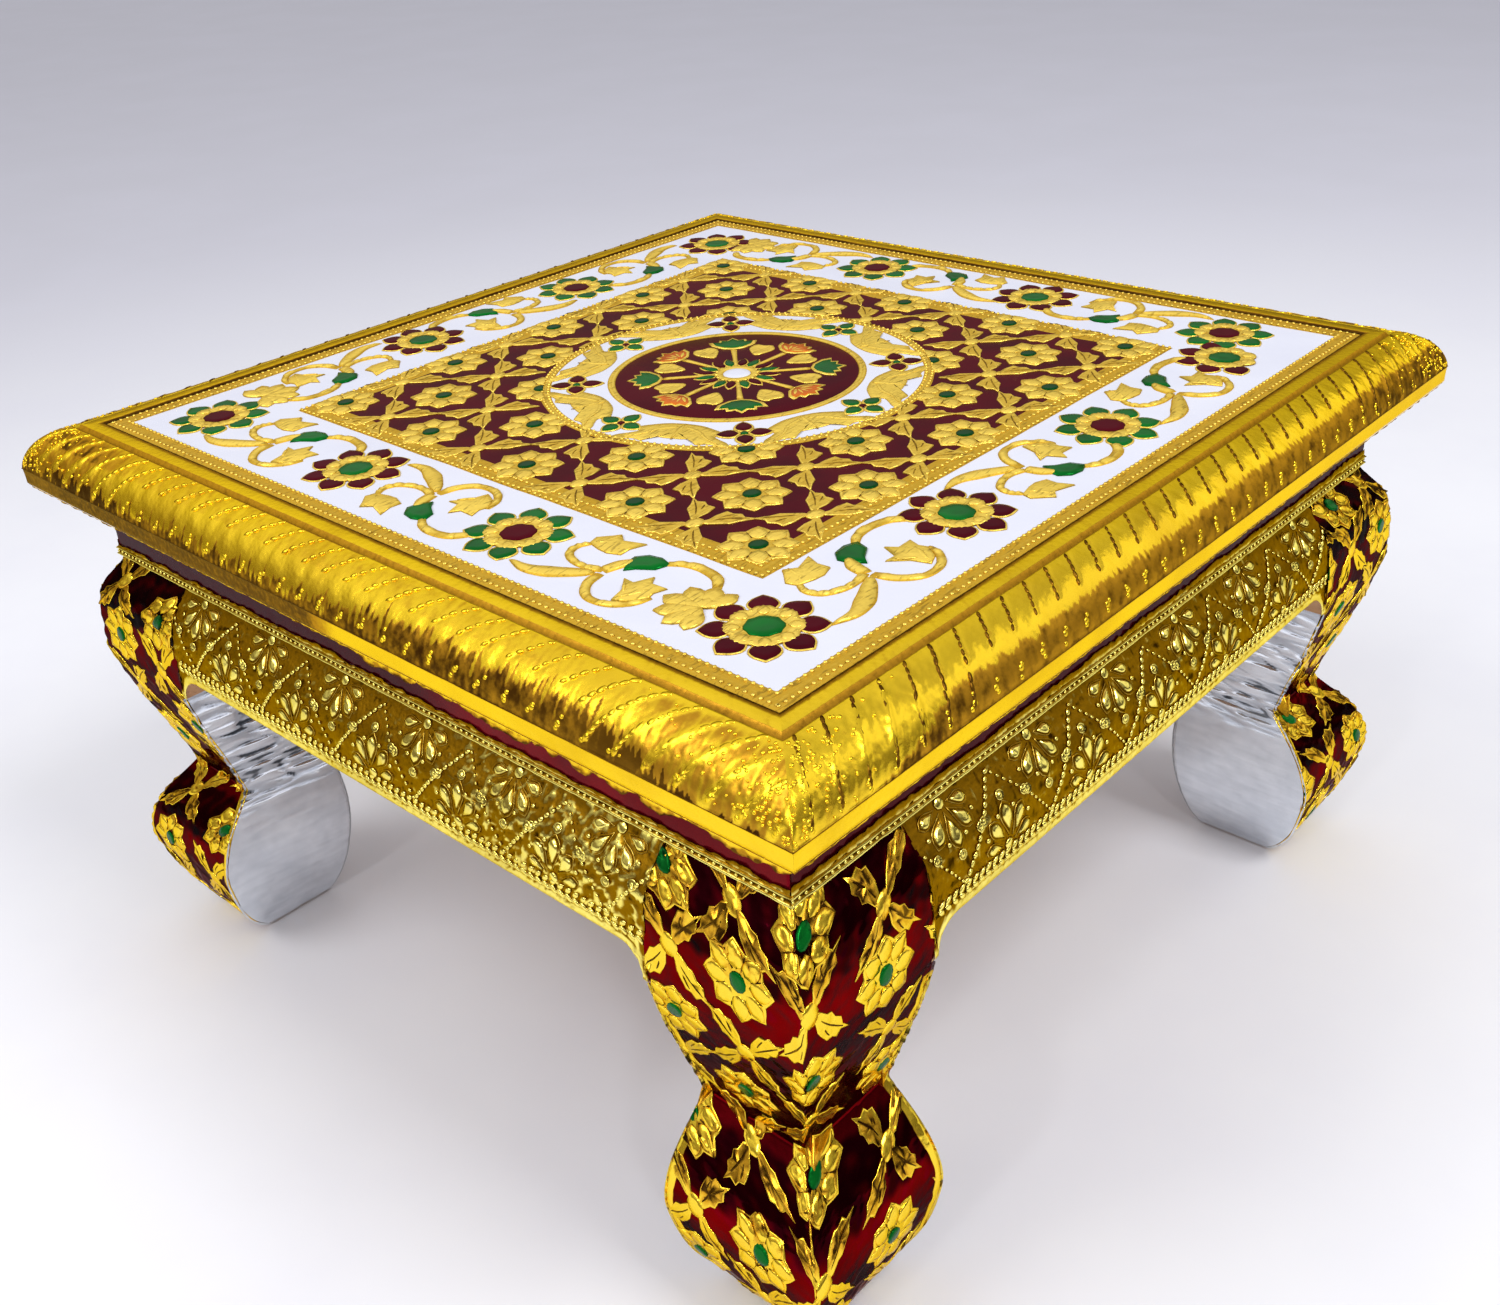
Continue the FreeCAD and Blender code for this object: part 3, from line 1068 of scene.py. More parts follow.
# The strokes of a vine drawn from flower to flower along +u: points, widths, count and notches
VINE_STROKES: list[tuple[list[Pair], list[float], int, float]] = [
    ([(59.4, 6.6), (55.6, 10.8), (49.7, 12.2), (44.7, 11.3), (41.0, 8.8)], [2.4, 3.4, 2.9, 2.2], 18, 1.6),
    ([(34.5, 6.0), (32.6, 2.5), (31.4, -2.0)], [1.8, 4.0, 3.6], 10, 0.0),
    (
        [(32.0, -1.4), (27.0, -2.7), (22.6, -2.4), (18.4, -0.2), (17.2, 3.4), (19.0, 7.0)],
        [2.8, 2.2, 2.4, 2.2, 1.6], 24, 1.4,
    ),
    (
        [(31.0, -3.6), (27.5, -5.9), (21.2, -9.6), (15.3, -11.4), (8.6, -10.4)],
        [1.6, 4.0, 5.4, 3.4, 0.5], 20, 0.0,
    ),
    (
        [(32.0, -2.4), (33.4, -8.6), (38.0, -12.8), (44.2, -12.6), (48.6, -9.0), (50.2, -4.4)],
        [3.2, 2.7, 2.5, 2.4, 1.6], 26, 1.4,
    ),
]
# Outlines of its two jagged leaves and of its bud, and the small petals that stand on the leaves
VINE_LEAVES: list[list[Pair]] = [
    [
        (17.2, 9.4), (20.3, 12.6), (21.6, 14.2), (24.5, 11.9), (30.6, 13.9), (28.9, 9.6), (29.2, 6.2),
        (25.6, 4.9), (22.4, 5.2), (18.0, 6.4),
    ],
    [
        (38.2, -1.7), (41.6, -2.0), (43.8, 3.0), (45.6, 0.2), (50.4, 0.4), (49.2, -3.0), (49.9, -5.4),
        (47.2, -9.2), (43.4, -10.9), (41.9, -6.0),
    ],
]
VINE_BUD = [
    (42.6, 9.4), (38.8, 10.7), (35.0, 10.0), (32.6, 7.3), (33.0, 4.6), (35.4, 0.8), (37.3, 3.0), (41.3, 5.4)
]
VINE_PETALS = [(19.5, 7.2, 0.55, 1.0), (21.0, 7.4, 1.3, 0.8), (44.2, -9.4, 1.1, 1.0), (43.6, -7.0, 2.3, 0.7)]
VINE_LENGTH = 68.0
# Half outlines of a spandrel and of a palmette, and points of a drop's closed outline
WING = [
    (41.0, 0.0), (41.6, 5.0), (43.4, 9.2), (45.4, 12.2), (48.4, 11.4), (50.4, 13.6), (52.4, 16.6),
    (55.4, 17.6), (53.6, 11.4), (54.6, 8.0), (51.4, 5.6), (51.6, 2.4),
]
PALMETTE = [(0, 0), (1.0, -3.4), (4.0, -6.8), (7.2, -7.8), (6.8, -4.6), (9.0, -4.4), (8.4, -1.9), (11.0, 0)]
DROP = [(0, 0), (2.2, -2.0), (5.2, -3.4), (7.8, -2.2), (7.4, 0), (7.8, 2.2), (5.2, 3.4), (2.2, 2.0)]


# The enamels of a green flower's petals and heart; the others have them the other way round
ENAMELS = (Finish.GREEN, Finish.MAROON)


@dataclass
class TopSheet:
    """The enamelled sheet: white border with vines, maroon field, round medallion."""

    level: float = 178.0
    relief: float = 0.9
    edge_half: float = 132.0
    white_half: float = 126.0
    field_half: float = 92.2
    band_half: float = 84.0
    lattice: float = 41.2
    field_shift: Pair = (-2.2, 2.2)
    hub: Pair = (-2.8, 2.8)
    ring_outer: float = 58.8
    ring_inner: float = 55.5
    ring_middle: float = 47.9
    disc_rim: float = 38.8
    disc_half: float = 36.6
    palmette_ring: float = 22.0
    copper_size: float = 0.92
    bead_pitch: float = 2.1
    bead_size: float = 0.62
    flat: FlatSheet = field(init=False)
    loose: dict[Finish, list[Patch]] = field(init=False, default_factory=dict)

    def __post_init__(self) -> None:
        """Lay the flat sheet."""
        self.flat = FlatSheet(self.level, self.relief)

    def lay(self, finish: Finish, patch: Patch) -> None:
        """Keep a patch until its finish is built."""
        self.loose.setdefault(finish, []).append(patch)

    def gild(self, patch: Patch) -> None:
        """Keep a patch of gold."""
        self.lay(Finish.TOP_GOLD, patch)

    def round_hub(self, count: int, radius: float, turn: float = 0.0, size: float = 1.0) -> Array:
        """Places round the medallion's middle that point outward."""
        return wheel(count, radius, turn, size) + (*self.hub, 0, 0)

    def square_band(self, inner: float, outer: float, rises: list[float]) -> Patch:
        """A band between two squares, its rises given from the outside in.

        Args:
            inner: Half the inner square.
            outer: Half the outer square.
            rises: A rise for each lane.

        Returns:
            The band's patch.
        """
        share = np.linspace(-1, 1, 48, endpoint=False)
        one = np.ones_like(share)
        unit = np.concatenate([turned(share, -one, one, k)[:, :2] for k in range(4)])
        return band(unit * inner, unit * outer, rises)

    def bead_square(self, half: float) -> Patch:
        """Beads in a row along the four sides of a square.

        Args:
            half: Half the square's side.

        Returns:
            The beads.
        """
        run = np.arange(-half, half, self.bead_pitch)
        places = np.concatenate([turned(run, np.full_like(run, -half), 0 * run, k)[:, :2] for k in range(4)])
        return lifted(stamp(SMALL_BEAD, spots(*places.T, 0, self.bead_size)), 0.3, 0.9)

    def pool(self, half: float, count: int, edge: float, swell: tuple[float, float, float, int]) -> Patch:
        """A square of enamel in slow waves.

        Args:
            half: Half its width.
            count: Points along each side.
            edge: Rise of its outermost points.
            swell: Mean rise, height, length and seed of the waves.

        Returns:
            The enamel.
        """
        mean, height, length, seed = swell
        run = np.linspace(-half, half, count)
        u, v = np.meshgrid(run, run)
        outermost = np.maximum(abs(u), abs(v)) > half - 0.01
        return grid(u, v, np.where(outermost, edge, mean + height * ripple(u, v, length, seed)), 1.0)

    def ground(self) -> None:
        """Lay the white and the maroon ground under the relief."""
        white = self.pool(self.edge_half, 133, -0.05, (0.12, 0.03, 26.0, 3))
        piece("top_white_enamel", self.flat, white, Finish.WHITE, ("top_sheet",))
        self.lay(Finish.MAROON, self.pool(self.field_half - 1, 120, 0.0, (0.27, 0.05, 11.0, 5)))

    def borders(self) -> None:
        """Lay the gold bands with their rows of beads."""
        self.gild(self.square_band(self.white_half, self.edge_half, [0.0, 0.5, 0.32, 0.5, 0.34, 0.55, 0.0]))
        rises = [0.0, 0.5, 0.34, 0.5, 0.42, 0.5, 0.36, 0.5, 0.1]
        self.gild(self.square_band(self.band_half, self.field_half, rises))
        outer, inner = self.edge_half, self.field_half
        for half in (self.white_half + 1.0, outer - 1.6, inner - 1.0, inner - 4.4):
            self.gild(self.bead_square(half))

    def border_flower(self, u: float, v: float, green: bool, petals: range = range(8)) -> None:
        """Lay one border flower.

        Args:
            u: Across the table.
            v: Along the table.
            green: Whether its petals are green round a maroon heart, or the other way.
            petals: Which of the eight petals show.
        """
        outer, heart = ENAMELS if green else ENAMELS[::-1]
        turn = 0.25 + 0.3 * math.sin(u + v)
        here = (u, v, 0, 0)
        centre = np.array([u, v])
        middle = np.array([4.0, 0.0])
        outline = mirrored(smooth([(0, 0), (1.2, -2.4), (3.7, -3.8), (6.3, -2.7), (8.3, 0)], 10))
        rim = plate(outline, [(1.0, 0.05), (0.98, 0.45), (0.9, 0.45)], middle)
        rings = [(1.0, 0.3), (0.9, 0.66), (0.5, 0.84), (0.2, 0.78)]
        fill = plate(middle + 0.93 * (outline - middle), rings, middle)
        around = wheel(8, 6.3, turn)[list(petals)] + here
        self.gild(stamp(rim, around))
        self.lay(outer, stamp(fill, around))
        angle = np.linspace(0, 2 * np.pi, 64, endpoint=False)
        radius = 7.9 + 1.5 * abs(np.cos(4 * (angle - turn)))
        lobes = radius[:, None] * np.stack([np.cos(angle), np.sin(angle)], -1) + (u, v)
        self.gild(plate(lobes, [(1.0, 0.35), (0.97, 0.8), (0.86, 0.88), (0.62, 0.6)], centre))
        self.gild(stamp(lifted(petal(4.2, 3.2), 0.5, 1.0), wheel(8, 4.9, turn) + here))
        self.gild(stamp(lifted(SMALL_BEAD, 0.4, 1.0), wheel(8, 7.2, turn + HALF_STEP, 0.6) + here))
        core = ring_outline(4.7, 20) * (1 + 0.05 * np.cos(np.arange(20) * 2.5))[:, None] + centre
        self.lay(heart, plate(core, [(1.0, 0.5), (0.9, 0.88), (0.5, 1.0), (0.25, 0.9)], centre))

    def vines(self) -> None:
        """Lay the twelve vines of the border."""
        parts = [stroke(*one) for one in VINE_STROKES]
        leaf_rings = [(1.0, 0.0), (0.94, 0.55), (0.8, 0.7), (0.35, 0.95)]
        parts += [plate(np.array(outline), leaf_rings) for outline in VINE_LEAVES]
        parts.append(stamp(lifted(petal(7.6, 1.3), 0.6, 1.0), VINE_PETALS))
        gold = join(parts)
        bud = plate(np.array(VINE_BUD), [(1.0, 0.0), (0.96, 0.6), (0.6, 0.9), (0.3, 0.8)])
        for run in VINE_RUNS:
            for k, (start, end) in enumerate(zip(run, run[1:])):
                ahead = np.subtract(end, start)
                size = float(np.hypot(*ahead)) / VINE_LENGTH
                place = [(*start, math.atan2(ahead[1], ahead[0]), size)]
                for finish, patch in ((Finish.TOP_GOLD, gold), (Finish.GREEN, bud)):
                    self.lay(finish, stamp(flipped(patch) if k == 1 else patch, place))

    def clusters(self) -> None:
        """Lay the fans of gold leaves beside three corner flowers."""
        for u, v, turn in CLUSTERS:
            fan = [(u, v, turn + 0.62 * k, 1.0 - 0.05 * abs(k)) for k in range(-3, 4)]
            self.gild(stamp(petal(11.5, 6.4, 1.2), fan))
            self.gild(stamp(lifted(petal(6.0, 3.0), 0.4, 1.0), fan))

    def clear_of_ring(self, patch: Patch) -> Patch:
        """Keep field relief out of the medallion and inside the beaded border.

        Args:
            patch: Relief of the field.

        Returns:
            The relief, pushed off the ring.
        """
        points = patch.points.copy()
        away = points[:, :2] - self.hub
        radius = np.linalg.norm(away, axis=1)
        ring, edge = self.ring_outer - 1, self.field_half - 0.6
        push = np.where(radius < ring, ring / np.maximum(radius, 1), 1.0)
        points[:, :2] = np.clip(away * push[:, None] + self.hub, -edge, edge)
        return Patch(points, patch.faces)

    def lattice_places(self, odd: bool) -> Array:
        """Places of the daisies, or of the crossings between them when odd, each slightly turned.

        Args:
            odd: Whether the crossings are wanted.

        Returns:
            Rows of places.
        """
        steps = np.arange(-5, 6)
        i, j = np.meshgrid(steps, steps)
        chosen = (i + j) % 2 == int(odd)
        points = np.stack([i[chosen], j[chosen]], -1) * self.lattice / 2 + self.field_shift
        inside = np.abs(points).max(1) < self.field_half - 5
        beyond = np.linalg.norm(points - self.hub, axis=1) > self.ring_outer - (6 if odd else 3)
        points = points[inside & beyond]
        return spots(*points.T, 0 if odd else 0.05 * np.sin(points[:, 0]))

    def daisies(self) -> None:
        """Lay the daisies of the field and the leaves that cross between them."""
        gold, heart = daisy(10.3)
        places = self.lattice_places(False)
        self.gild(self.clear_of_ring(stamp(gold, places)))
        self.lay(Finish.GREEN, inked(self.clear_of_ring(stamp(heart, places)), 0.22))
        self.gild(self.clear_of_ring(stamp(crossing(FIELD_CROSSING), self.lattice_places(True))))

    def medallion(self) -> None:
        """Lay the round centre, ring by ring from the outside."""
        hub = np.array(self.hub)
        full = ring_outline(1.0, 128)
        disc = plate(full * (self.ring_outer - 1) + hub, [(1.0, 0.2), (0.98, 0.36)], hub)
        self.lay(Finish.WHITE, disc)
        rises = [0.2, 0.6, 0.5, 0.65, 0.5, 0.6, 0.3]
        self.gild(band(full * self.ring_inner + hub, full * self.ring_outer + hub, rises))
        for radius in (self.ring_outer - 0.8, self.ring_inner + 0.8):
            count = int(2 * math.pi * radius / self.bead_pitch)
            self.gild(stamp(SMALL_BEAD, self.round_hub(count, radius, 0, 0.55)))
        self.spandrels()
        self.small_flowers()
        inner, outer = full * (self.disc_half - 0.3) + hub, full * self.disc_rim + hub
        self.gild(band(inner, outer, [0.3, 0.8, 0.62, 0.85, 0.3]))
        disc = plate(full * self.disc_half + hub, [(1.0, 0.3), (0.99, 0.5), (0.5, 0.5)], hub)
        self.lay(Finish.MAROON, disc)
        self.hub_flowers()
        self.heart(hub)

    def spandrels(self) -> None:
        """Lay the eight gold acanthus pieces between the lens shapes of the ring."""
        wing = smooth(WING, 40)
        outline = np.concatenate([wing, (wing * (1, -1))[::-1]])
        outline = outline[np.r_[True, np.linalg.norm(np.diff(outline, axis=0), axis=1) > 0.05]]
        body = plate(outline, [(1.0, 0.3), (0.985, 0.66), (0.8, 0.72), (0.4, 0.85)], (48.0, 0.0))
        places = self.round_hub(8, 0.0, HALF_STEP)
        self.gild(stamp(body, places))
        line = np.array([(43.5, 0.5), (46.5, 6.0), (50.5, 9.5), (54.0, 14.6)])
        ribs = [stroke(line * (1, way), [1.6, 1.3, 0.3], 12) for way in (-1, 1)]
        ribs.append(stroke([(41.5, 0), (46, 0), (52.5, 0)], [0.4, 2.0, 0.4], 8))
        self.gild(stamp(lifted(join(ribs), 0.62, 1.0), places))

    def small_flowers(self) -> None:
        """Lay the eight four-petalled flowers of the ring."""
        outline = petal_outline(5.6, 4.2, 0.8)
        rim = plate(outline, [(1.0, 0.3), (0.97, 0.72), (0.85, 0.72)], (3.0, 0.0))
        rings = [(1.0, 0.6), (0.85, 0.92), (0.35, 0.99)]
        fill = plate(outline * 0.84 + (0.5, 0), rings, (3.0, 0.0))
        for k, (u, v, turn, _) in enumerate(self.round_hub(8, self.ring_middle)):
            outer, heart = ENAMELS[::-1] if k % 2 else ENAMELS
            places = wheel(4, 0.6, turn, 1.3 + 0.1 * (k % 2)) + (u, v, 0, 0)
            self.gild(stamp(rim, places))
            self.lay(outer, stamp(fill, places))
            self.lay(heart, stamp(lifted(BEAD, 0.6, 1.0), [(u, v, 0, 1.3)]))

    def hub_flowers(self) -> None:
        """Lay the stems, palmettes, teardrops and small petals inside the disc."""
        stem = stroke([(6.0, 0), (14, 0), (22.5, 0)], [1.6, 1.5, 2.2], 10)
        self.gild(stamp(lifted(stem, 0.4, 0.85), self.round_hub(8, 0.0)))
        outline = mirrored(np.array(PALMETTE))
        rim = plate(outline, [(1.0, 0.3), (0.97, 0.8), (0.86, 0.8)], (5.0, 0.0))
        fill = plate(outline * 0.85 + (0.8, 0), [(1.0, 0.7), (0.9, 0.93), (0.4, 0.97)], (5.0, 0.0))
        fan = [(1.6, 0, turn, 1.0) for turn in (-0.95, -0.45, 0, 0.45, 0.95)]
        ribs = lifted(stamp(petal(6.4, 1.5), fan), 0.75, 1.0)
        for k, (u, v, turn, _) in enumerate(self.round_hub(8, self.palmette_ring)):
            copper = k % 2 == 0
            place = [(u, v, turn, self.copper_size if copper else 1.0)]
            self.gild(stamp(rim, place))
            self.lay(Finish.COPPER if copper else Finish.GREEN, stamp(fill, place))
            self.lay(Finish.TOP_GOLD if copper else Finish.GREEN, stamp(ribs, place))
        drop = plate(smooth(DROP, 20, True), [(1.0, 0.35), (0.95, 0.8), (0.8, 0.85), (0.6, 0.7)], (4.6, 0.0))
        self.gild(stamp(drop, self.round_hub(8, 16.4, HALF_STEP, 1.22)))
        under, leaf = lifted(petal(7.6, 3.8, 0.8), 0.35, 0.7), lifted(petal(6.4, 2.9, 0.8), 0.5, 0.95)
        for finish, turn in ((Finish.MAROON, 0.16), (Finish.GREEN, -0.2)):
            self.gild(stamp(under, self.round_hub(8, 6.0, turn + HALF_STEP)))
            self.lay(finish, stamp(leaf, self.round_hub(8, 6.5, turn + HALF_STEP)))

    def heart(self, hub: Array) -> None:
        """Lay the beaded ring and the white dome in the very middle.

        Args:
            hub: The medallion's middle.
        """
        rises = [0.4, 0.95, 0.8, 0.95, 0.5]
        self.gild(band(ring_outline(4.2, 40) + hub, ring_outline(6.4, 40) + hub, rises))
        self.gild(stamp(SMALL_BEAD, self.round_hub(16, 6.2, 0, 0.7)))
        self.lay(Finish.WHITE, plate(ring_outline(4.3, 32) + hub, [(1.0, 0.4), (0.9, 0.8), (0.5, 0.9)], hub))

    def build(self) -> None:
        """Build the whole sheet, one piece to a finish."""
        self.ground()
        self.borders()
        for flower in FLOWERS:
            self.border_flower(*flower)
        self.border_flower(*CROWDED_FLOWER)
        self.vines()
        self.clusters()
        self.daisies()
        self.medallion()
        for finish, patches in self.loose.items():
            piece(f"top_{finish.label}_relief", self.flat, join(patches), finish)


def daisy(radius: float) -> tuple[Patch, Patch]:
    """A daisy: an eight-pointed star of petals with dark veins, round a green heart.

    Args:
        radius: From the middle to a petal's tip.

    Returns:
        The gold petals and the green heart.
    """
    angle = np.linspace(0, 2 * np.pi, 32, endpoint=False)
    reach = radius * np.tile([1.0, 0.88, 0.79, 0.88], 8)
    star = reach[:, None] * np.stack([np.cos(angle), np.sin(angle)], -1)
    low = plate(star, [(1.0, 0.1), (0.96, 0.66), (0.9, 0.6), (0.7, 0.62)], np.zeros(2), RIM_TONES)
    keel = lifted(petal(radius * 0.64, radius * 0.46, 0.85), 0.5, 0.95)
    gap = stroke([(radius * 0.3, 0), (radius * 0.55, 0), (radius * 0.78, 0)], [0.3, 0.5, 0.3], 4)
    petals = stamp(keel, wheel(8, radius * 0.29))
    gaps = stamp(inked(lifted(gap, 0.5, 0.78), 0.0), wheel(8, 0.0, HALF_STEP))
    oval = ring_outline(1.0, 12) * (radius * 0.24, radius * 0.26)
    heart = plate(oval, [(1.0, 0.5), (0.9, 0.93), (0.5, 1.0)], np.zeros(2))
    return join([low, petals, gaps]), heart


@dataclass(frozen=True)
class Crossing:
    """The outline of one of a crossing's four leaves, its middle, and the waist's two radii."""

    leaf: tuple[Pair, ...]
    middle: Pair
    waist: Pair


FIELD_CROSSING = Crossing(
    (
        (0.4, 0.4), (2.7, 1.2), (5.2, 3.2), (7.3, 4.7), (8.3, 7.0), (10.7, 10.6), (8.1, 9.5), (6.3, 10.5),
        (4.3, 9.3), (2.0, 9.5), (1.3, 6.0), (1.5, 3.2),
    ),
    (4.4, 6.4),
    (2.3, 2.9),
)
LEG_CROSSING = Crossing(
    (
        (0.4, 0.4), (3.0, 1.1), (5.0, 3.1), (6.6, 3.6), (7.7, 5.7), (9.4, 6.9), (9.6, 9.0), (11.6, 11.3),
        (8.8, 10.0), (7.2, 11.2), (5.8, 9.9), (4.0, 9.8), (2.4, 7.2), (1.6, 5.6), (1.3, 3.2),
    ),
    (4.9, 6.2),
    (2.8, 3.3),
)


def crossing(form: Crossing) -> Patch:
    """The form between four daisies: a waist and four leaves with dark veins.

    Args:
        form: Leaf outline and waist.

    Returns:
        The raised form.
    """
    rings = [(1.0, 0.1), (0.95, 0.66), (0.86, 0.6), (0.3, 0.8)]
    body = plate(np.array(form.leaf), rings, np.array(form.middle), RIM_TONES)
    veins = join([
        stroke([(2.4, 2.8), (5.6, 6.4), (9.4, 9.6)], [0.3, 0.55, 0.3], 5),
        stroke([(3.4, 5.2), (4.2, 7.4), (5.2, 9.0)], [0.3, 0.5, 0.3], 4),
    ])
    leaf = join([body, inked(lifted(veins, 0.6, 0.97), 0.05)])
    half = join([leaf, flipped(leaf)])
    waist = plate(ring_outline(1.0, 10) * form.waist, [(1.0, 0.1), (0.9, 0.7), (0.4, 0.9)], np.zeros(2))
    return join([stamp(half, [(0, 0, 0, 1), (0, 0, math.pi, 1)]), waist])


# The moulding


@dataclass(frozen=True)
class Lie:
    """Points of the moulding's ground and where they lie in its pattern.

    way is the length down the ovolo, belly is 1 on its belly and 0 at its edges,
    meet falls to 0 at the mitres, cornered rises to 1 near them, groove and ridge
    follow the rows of beads, and fine is the noise that tears the edge of the
    painted reflection.
    """

    u: Array
    v: Array
    way: Array
    belly: Array
    meet: Array
    cornered: Array
    groove: Array
    ridge: Array
    fine: Array

    @property
    def mask(self) -> Array:
        """1 on the ovolo and 0 on lip and fillet."""
        return np.clip(self.belly * 6, 0, 1)


@dataclass
class Moulding:
    """The mitred moulding: plain lip, quirk, fluted and beaded ovolo, plain fillet.

    The capitals are indexes of the section's points where a form begins or ends.
    Pairs are for the front and back, then for the right and left.
    """

    QUIRK: ClassVar[int] = 2
    OVOLO_TOP: ClassVar[int] = 5
    OVOLO_FOOT: ClassVar[int] = -4
    height: float = 178.0
    half: float = 152.4
    seam: float = 132.0
    lip_end: float = 137.2
    quirk: float = 1.6
    quirk_depth: float = 1.6
    radius: float = 14.8
    fall: float = 0.4
    bottom: float = 160.0
    fillet: float = 5.2
    setback: float = 0.5
    relief: float = 0.8
    hem_relief: float = 0.6
    hem_drop: float = 2.4
    corner_reach: float = 60.0
    corner_fade: float = 22.0
    corner_beads: int = 240
    row_pitch: float = 8.5
    row_reach: float = 8.6
    leans: tuple[Pair, ...] = ((1.15, 0.4), (0.85, 0.2))
    lean_fall: float = 20.0
    # How far down the ovolo the painted reflection reaches at each end, for each kind
    painted_reflection_ends: tuple[Pair, ...] = ((16.2, 11.5), (11.5, 10.6))
    near_corner: Pair = (98.0, 128.0)
    teeth: tuple[float, ...] = (2.4, 0.8)
    # Dash tones are painted light: bright on the front and back, painted shade on the right and left
    dash_painted_light_tones: tuple[Pair, ...] = ((0.2, 1.0), (0.0, 0.16))
    dash_halves: tuple[float, ...] = (0.6, 0.46)
    seam_width: float = 0.55
    crease_half: float = 0.35
    lip_tone: float = 0.76
    # The seam's dark line is its own; the dark crease at the ovolo's foot and the dark quirk are painted
    # shade
    seam_and_crease_shade_tone: float = 0.02
    quirk_shade_tone: float = 0.3

    @cached_property
    def profile(self) -> Profile:
        """The section from the seam outward and down to the underside.

        The lip is level, the quirk is a small groove, the ovolo is a circle's arc
        about a centre one radius inside the widest point, and the fillet is upright.

        Returns:
            The section.
        """
        centre = np.array([self.half - self.radius, self.height - self.fall - self.radius])
        start_offset = self.lip_end + self.quirk
        start = math.acos((start_offset - centre[0]) / self.radius)
        end = math.asin((self.bottom + self.fillet - centre[1]) / self.radius)
        turn = np.linspace(start, end, 40)
        arc = centre + self.radius * np.stack([np.cos(turn), np.sin(turn)], -1)
        foot = self.half - self.setback
        quirk = [(self.lip_end, self.height - 0.1), (self.lip_end + 0.8, self.height - self.quirk_depth)]
        lip = [(self.seam, self.height), (self.seam + 2, self.height), (self.lip_end - 0.3, self.height)]
        tail = [(foot, arc[-1, 1] - 0.15), (foot, self.bottom + 2.0), (foot, self.bottom)]
        return Profile(np.array([*lip, *quirk, *arc, *tail]))

    @property
    def ovolo_span(self) -> Pair:
        """The v at the top and at the foot of the ovolo."""
        return -float(self.profile.run[self.OVOLO_TOP]), -float(self.profile.run[self.OVOLO_FOOT])

    def row_lean(self, down: Array, kind: int) -> Array:
        """How far along the side a row of beads has leaned, less and less steeply, on its way down."""
        steep, upright = self.leans[kind]
        return -(steep * down - (steep - upright) * down**2 / (2 * self.lean_fall))

    def row_starts(self) -> Array:
        """Where each row starts along the side, with the lean's run-in beyond the far end."""
        count = self.half / self.row_pitch
        return np.arange(-math.floor(count), count + 2) * self.row_pitch

    def lie(self, kind: int, seed: int) -> Lie:
        """Set out the ground's points, finest on the ovolo, and where each of them lies.

        Args:
            kind: The side's kind.
            seed: Seed of the noise.

        Returns:
            The points and their places in the pattern.
        """
        seam_lines = [0.3, 0.42]
        fillet_lines = np.linspace(self.profile.run[self.OVOLO_FOOT], self.profile.run[-1], 8)
        down = np.unique(np.concatenate([self.profile.run, seam_lines, fillet_lines]))
        share = np.linspace(-1, 1, 721)
        v = -down[::-1, None] * np.ones_like(share)
        offset = self.profile.offset_at(v)
        u = share * (offset + 1.0)
        top, foot = self.ovolo_span
        way = np.clip(top - v, 0, top - foot)
        belly = np.sin(np.pi * np.clip(1 - way / (top - foot), 0, 1)) ** 0.5
        row = (u - self.row_lean(way, kind)) * (2 * np.pi / self.row_pitch)
        cornered = ramp(np.abs(u) - self.half + self.corner_reach, 0, self.corner_fade)
        meet = ramp(offset - np.abs(u), 0, 1.5)
        groove = 0.16 * np.exp(-(1 - np.cos(row - 0.6)) / 0.12) * (way < self.row_reach) * (1 - cornered)
        ridge = np.exp(-(1 - np.cos(row)) / 0.35)
        return Lie(u, v, way, belly, meet, cornered, groove, ridge, ripple(u, v, 1.6, seed, 9.0))

    def rises(self, lie: Lie, seed: int) -> Array:
        """Heights of the ground: dents, ridges and grooves on the ovolo, slow waves elsewhere.

        At the mitres every height fades to one that depends on the way down alone.

        Args:
            lie: The ground's points.
            seed: Seed of the noise.

        Returns:
            The rise at each point.
        """
        u, v, meet, cornered = lie.u, lie.v, lie.meet, lie.cornered
        dents = 0.1 * ripple(u, v, 6.5, seed + 1, 1.6) + 0.08 * cornered * ripple(u, v, 2.4, seed + 9, 1.3)
        swell = 0.32 * cornered * lie.ridge + dents + 0.012 * lie.fine - lie.groove
        body = 0.6 + lie.belly * meet * swell
        plain = 0.7 + 0.04 * ripple(u, v, 14.0, seed + 2) * meet
        rise = np.clip(plain * (1 - lie.mask) + body * lie.mask, 0.12, 0.98)
        rise[-2:] = 0.3
        rise[0] = 0.0
        return rise

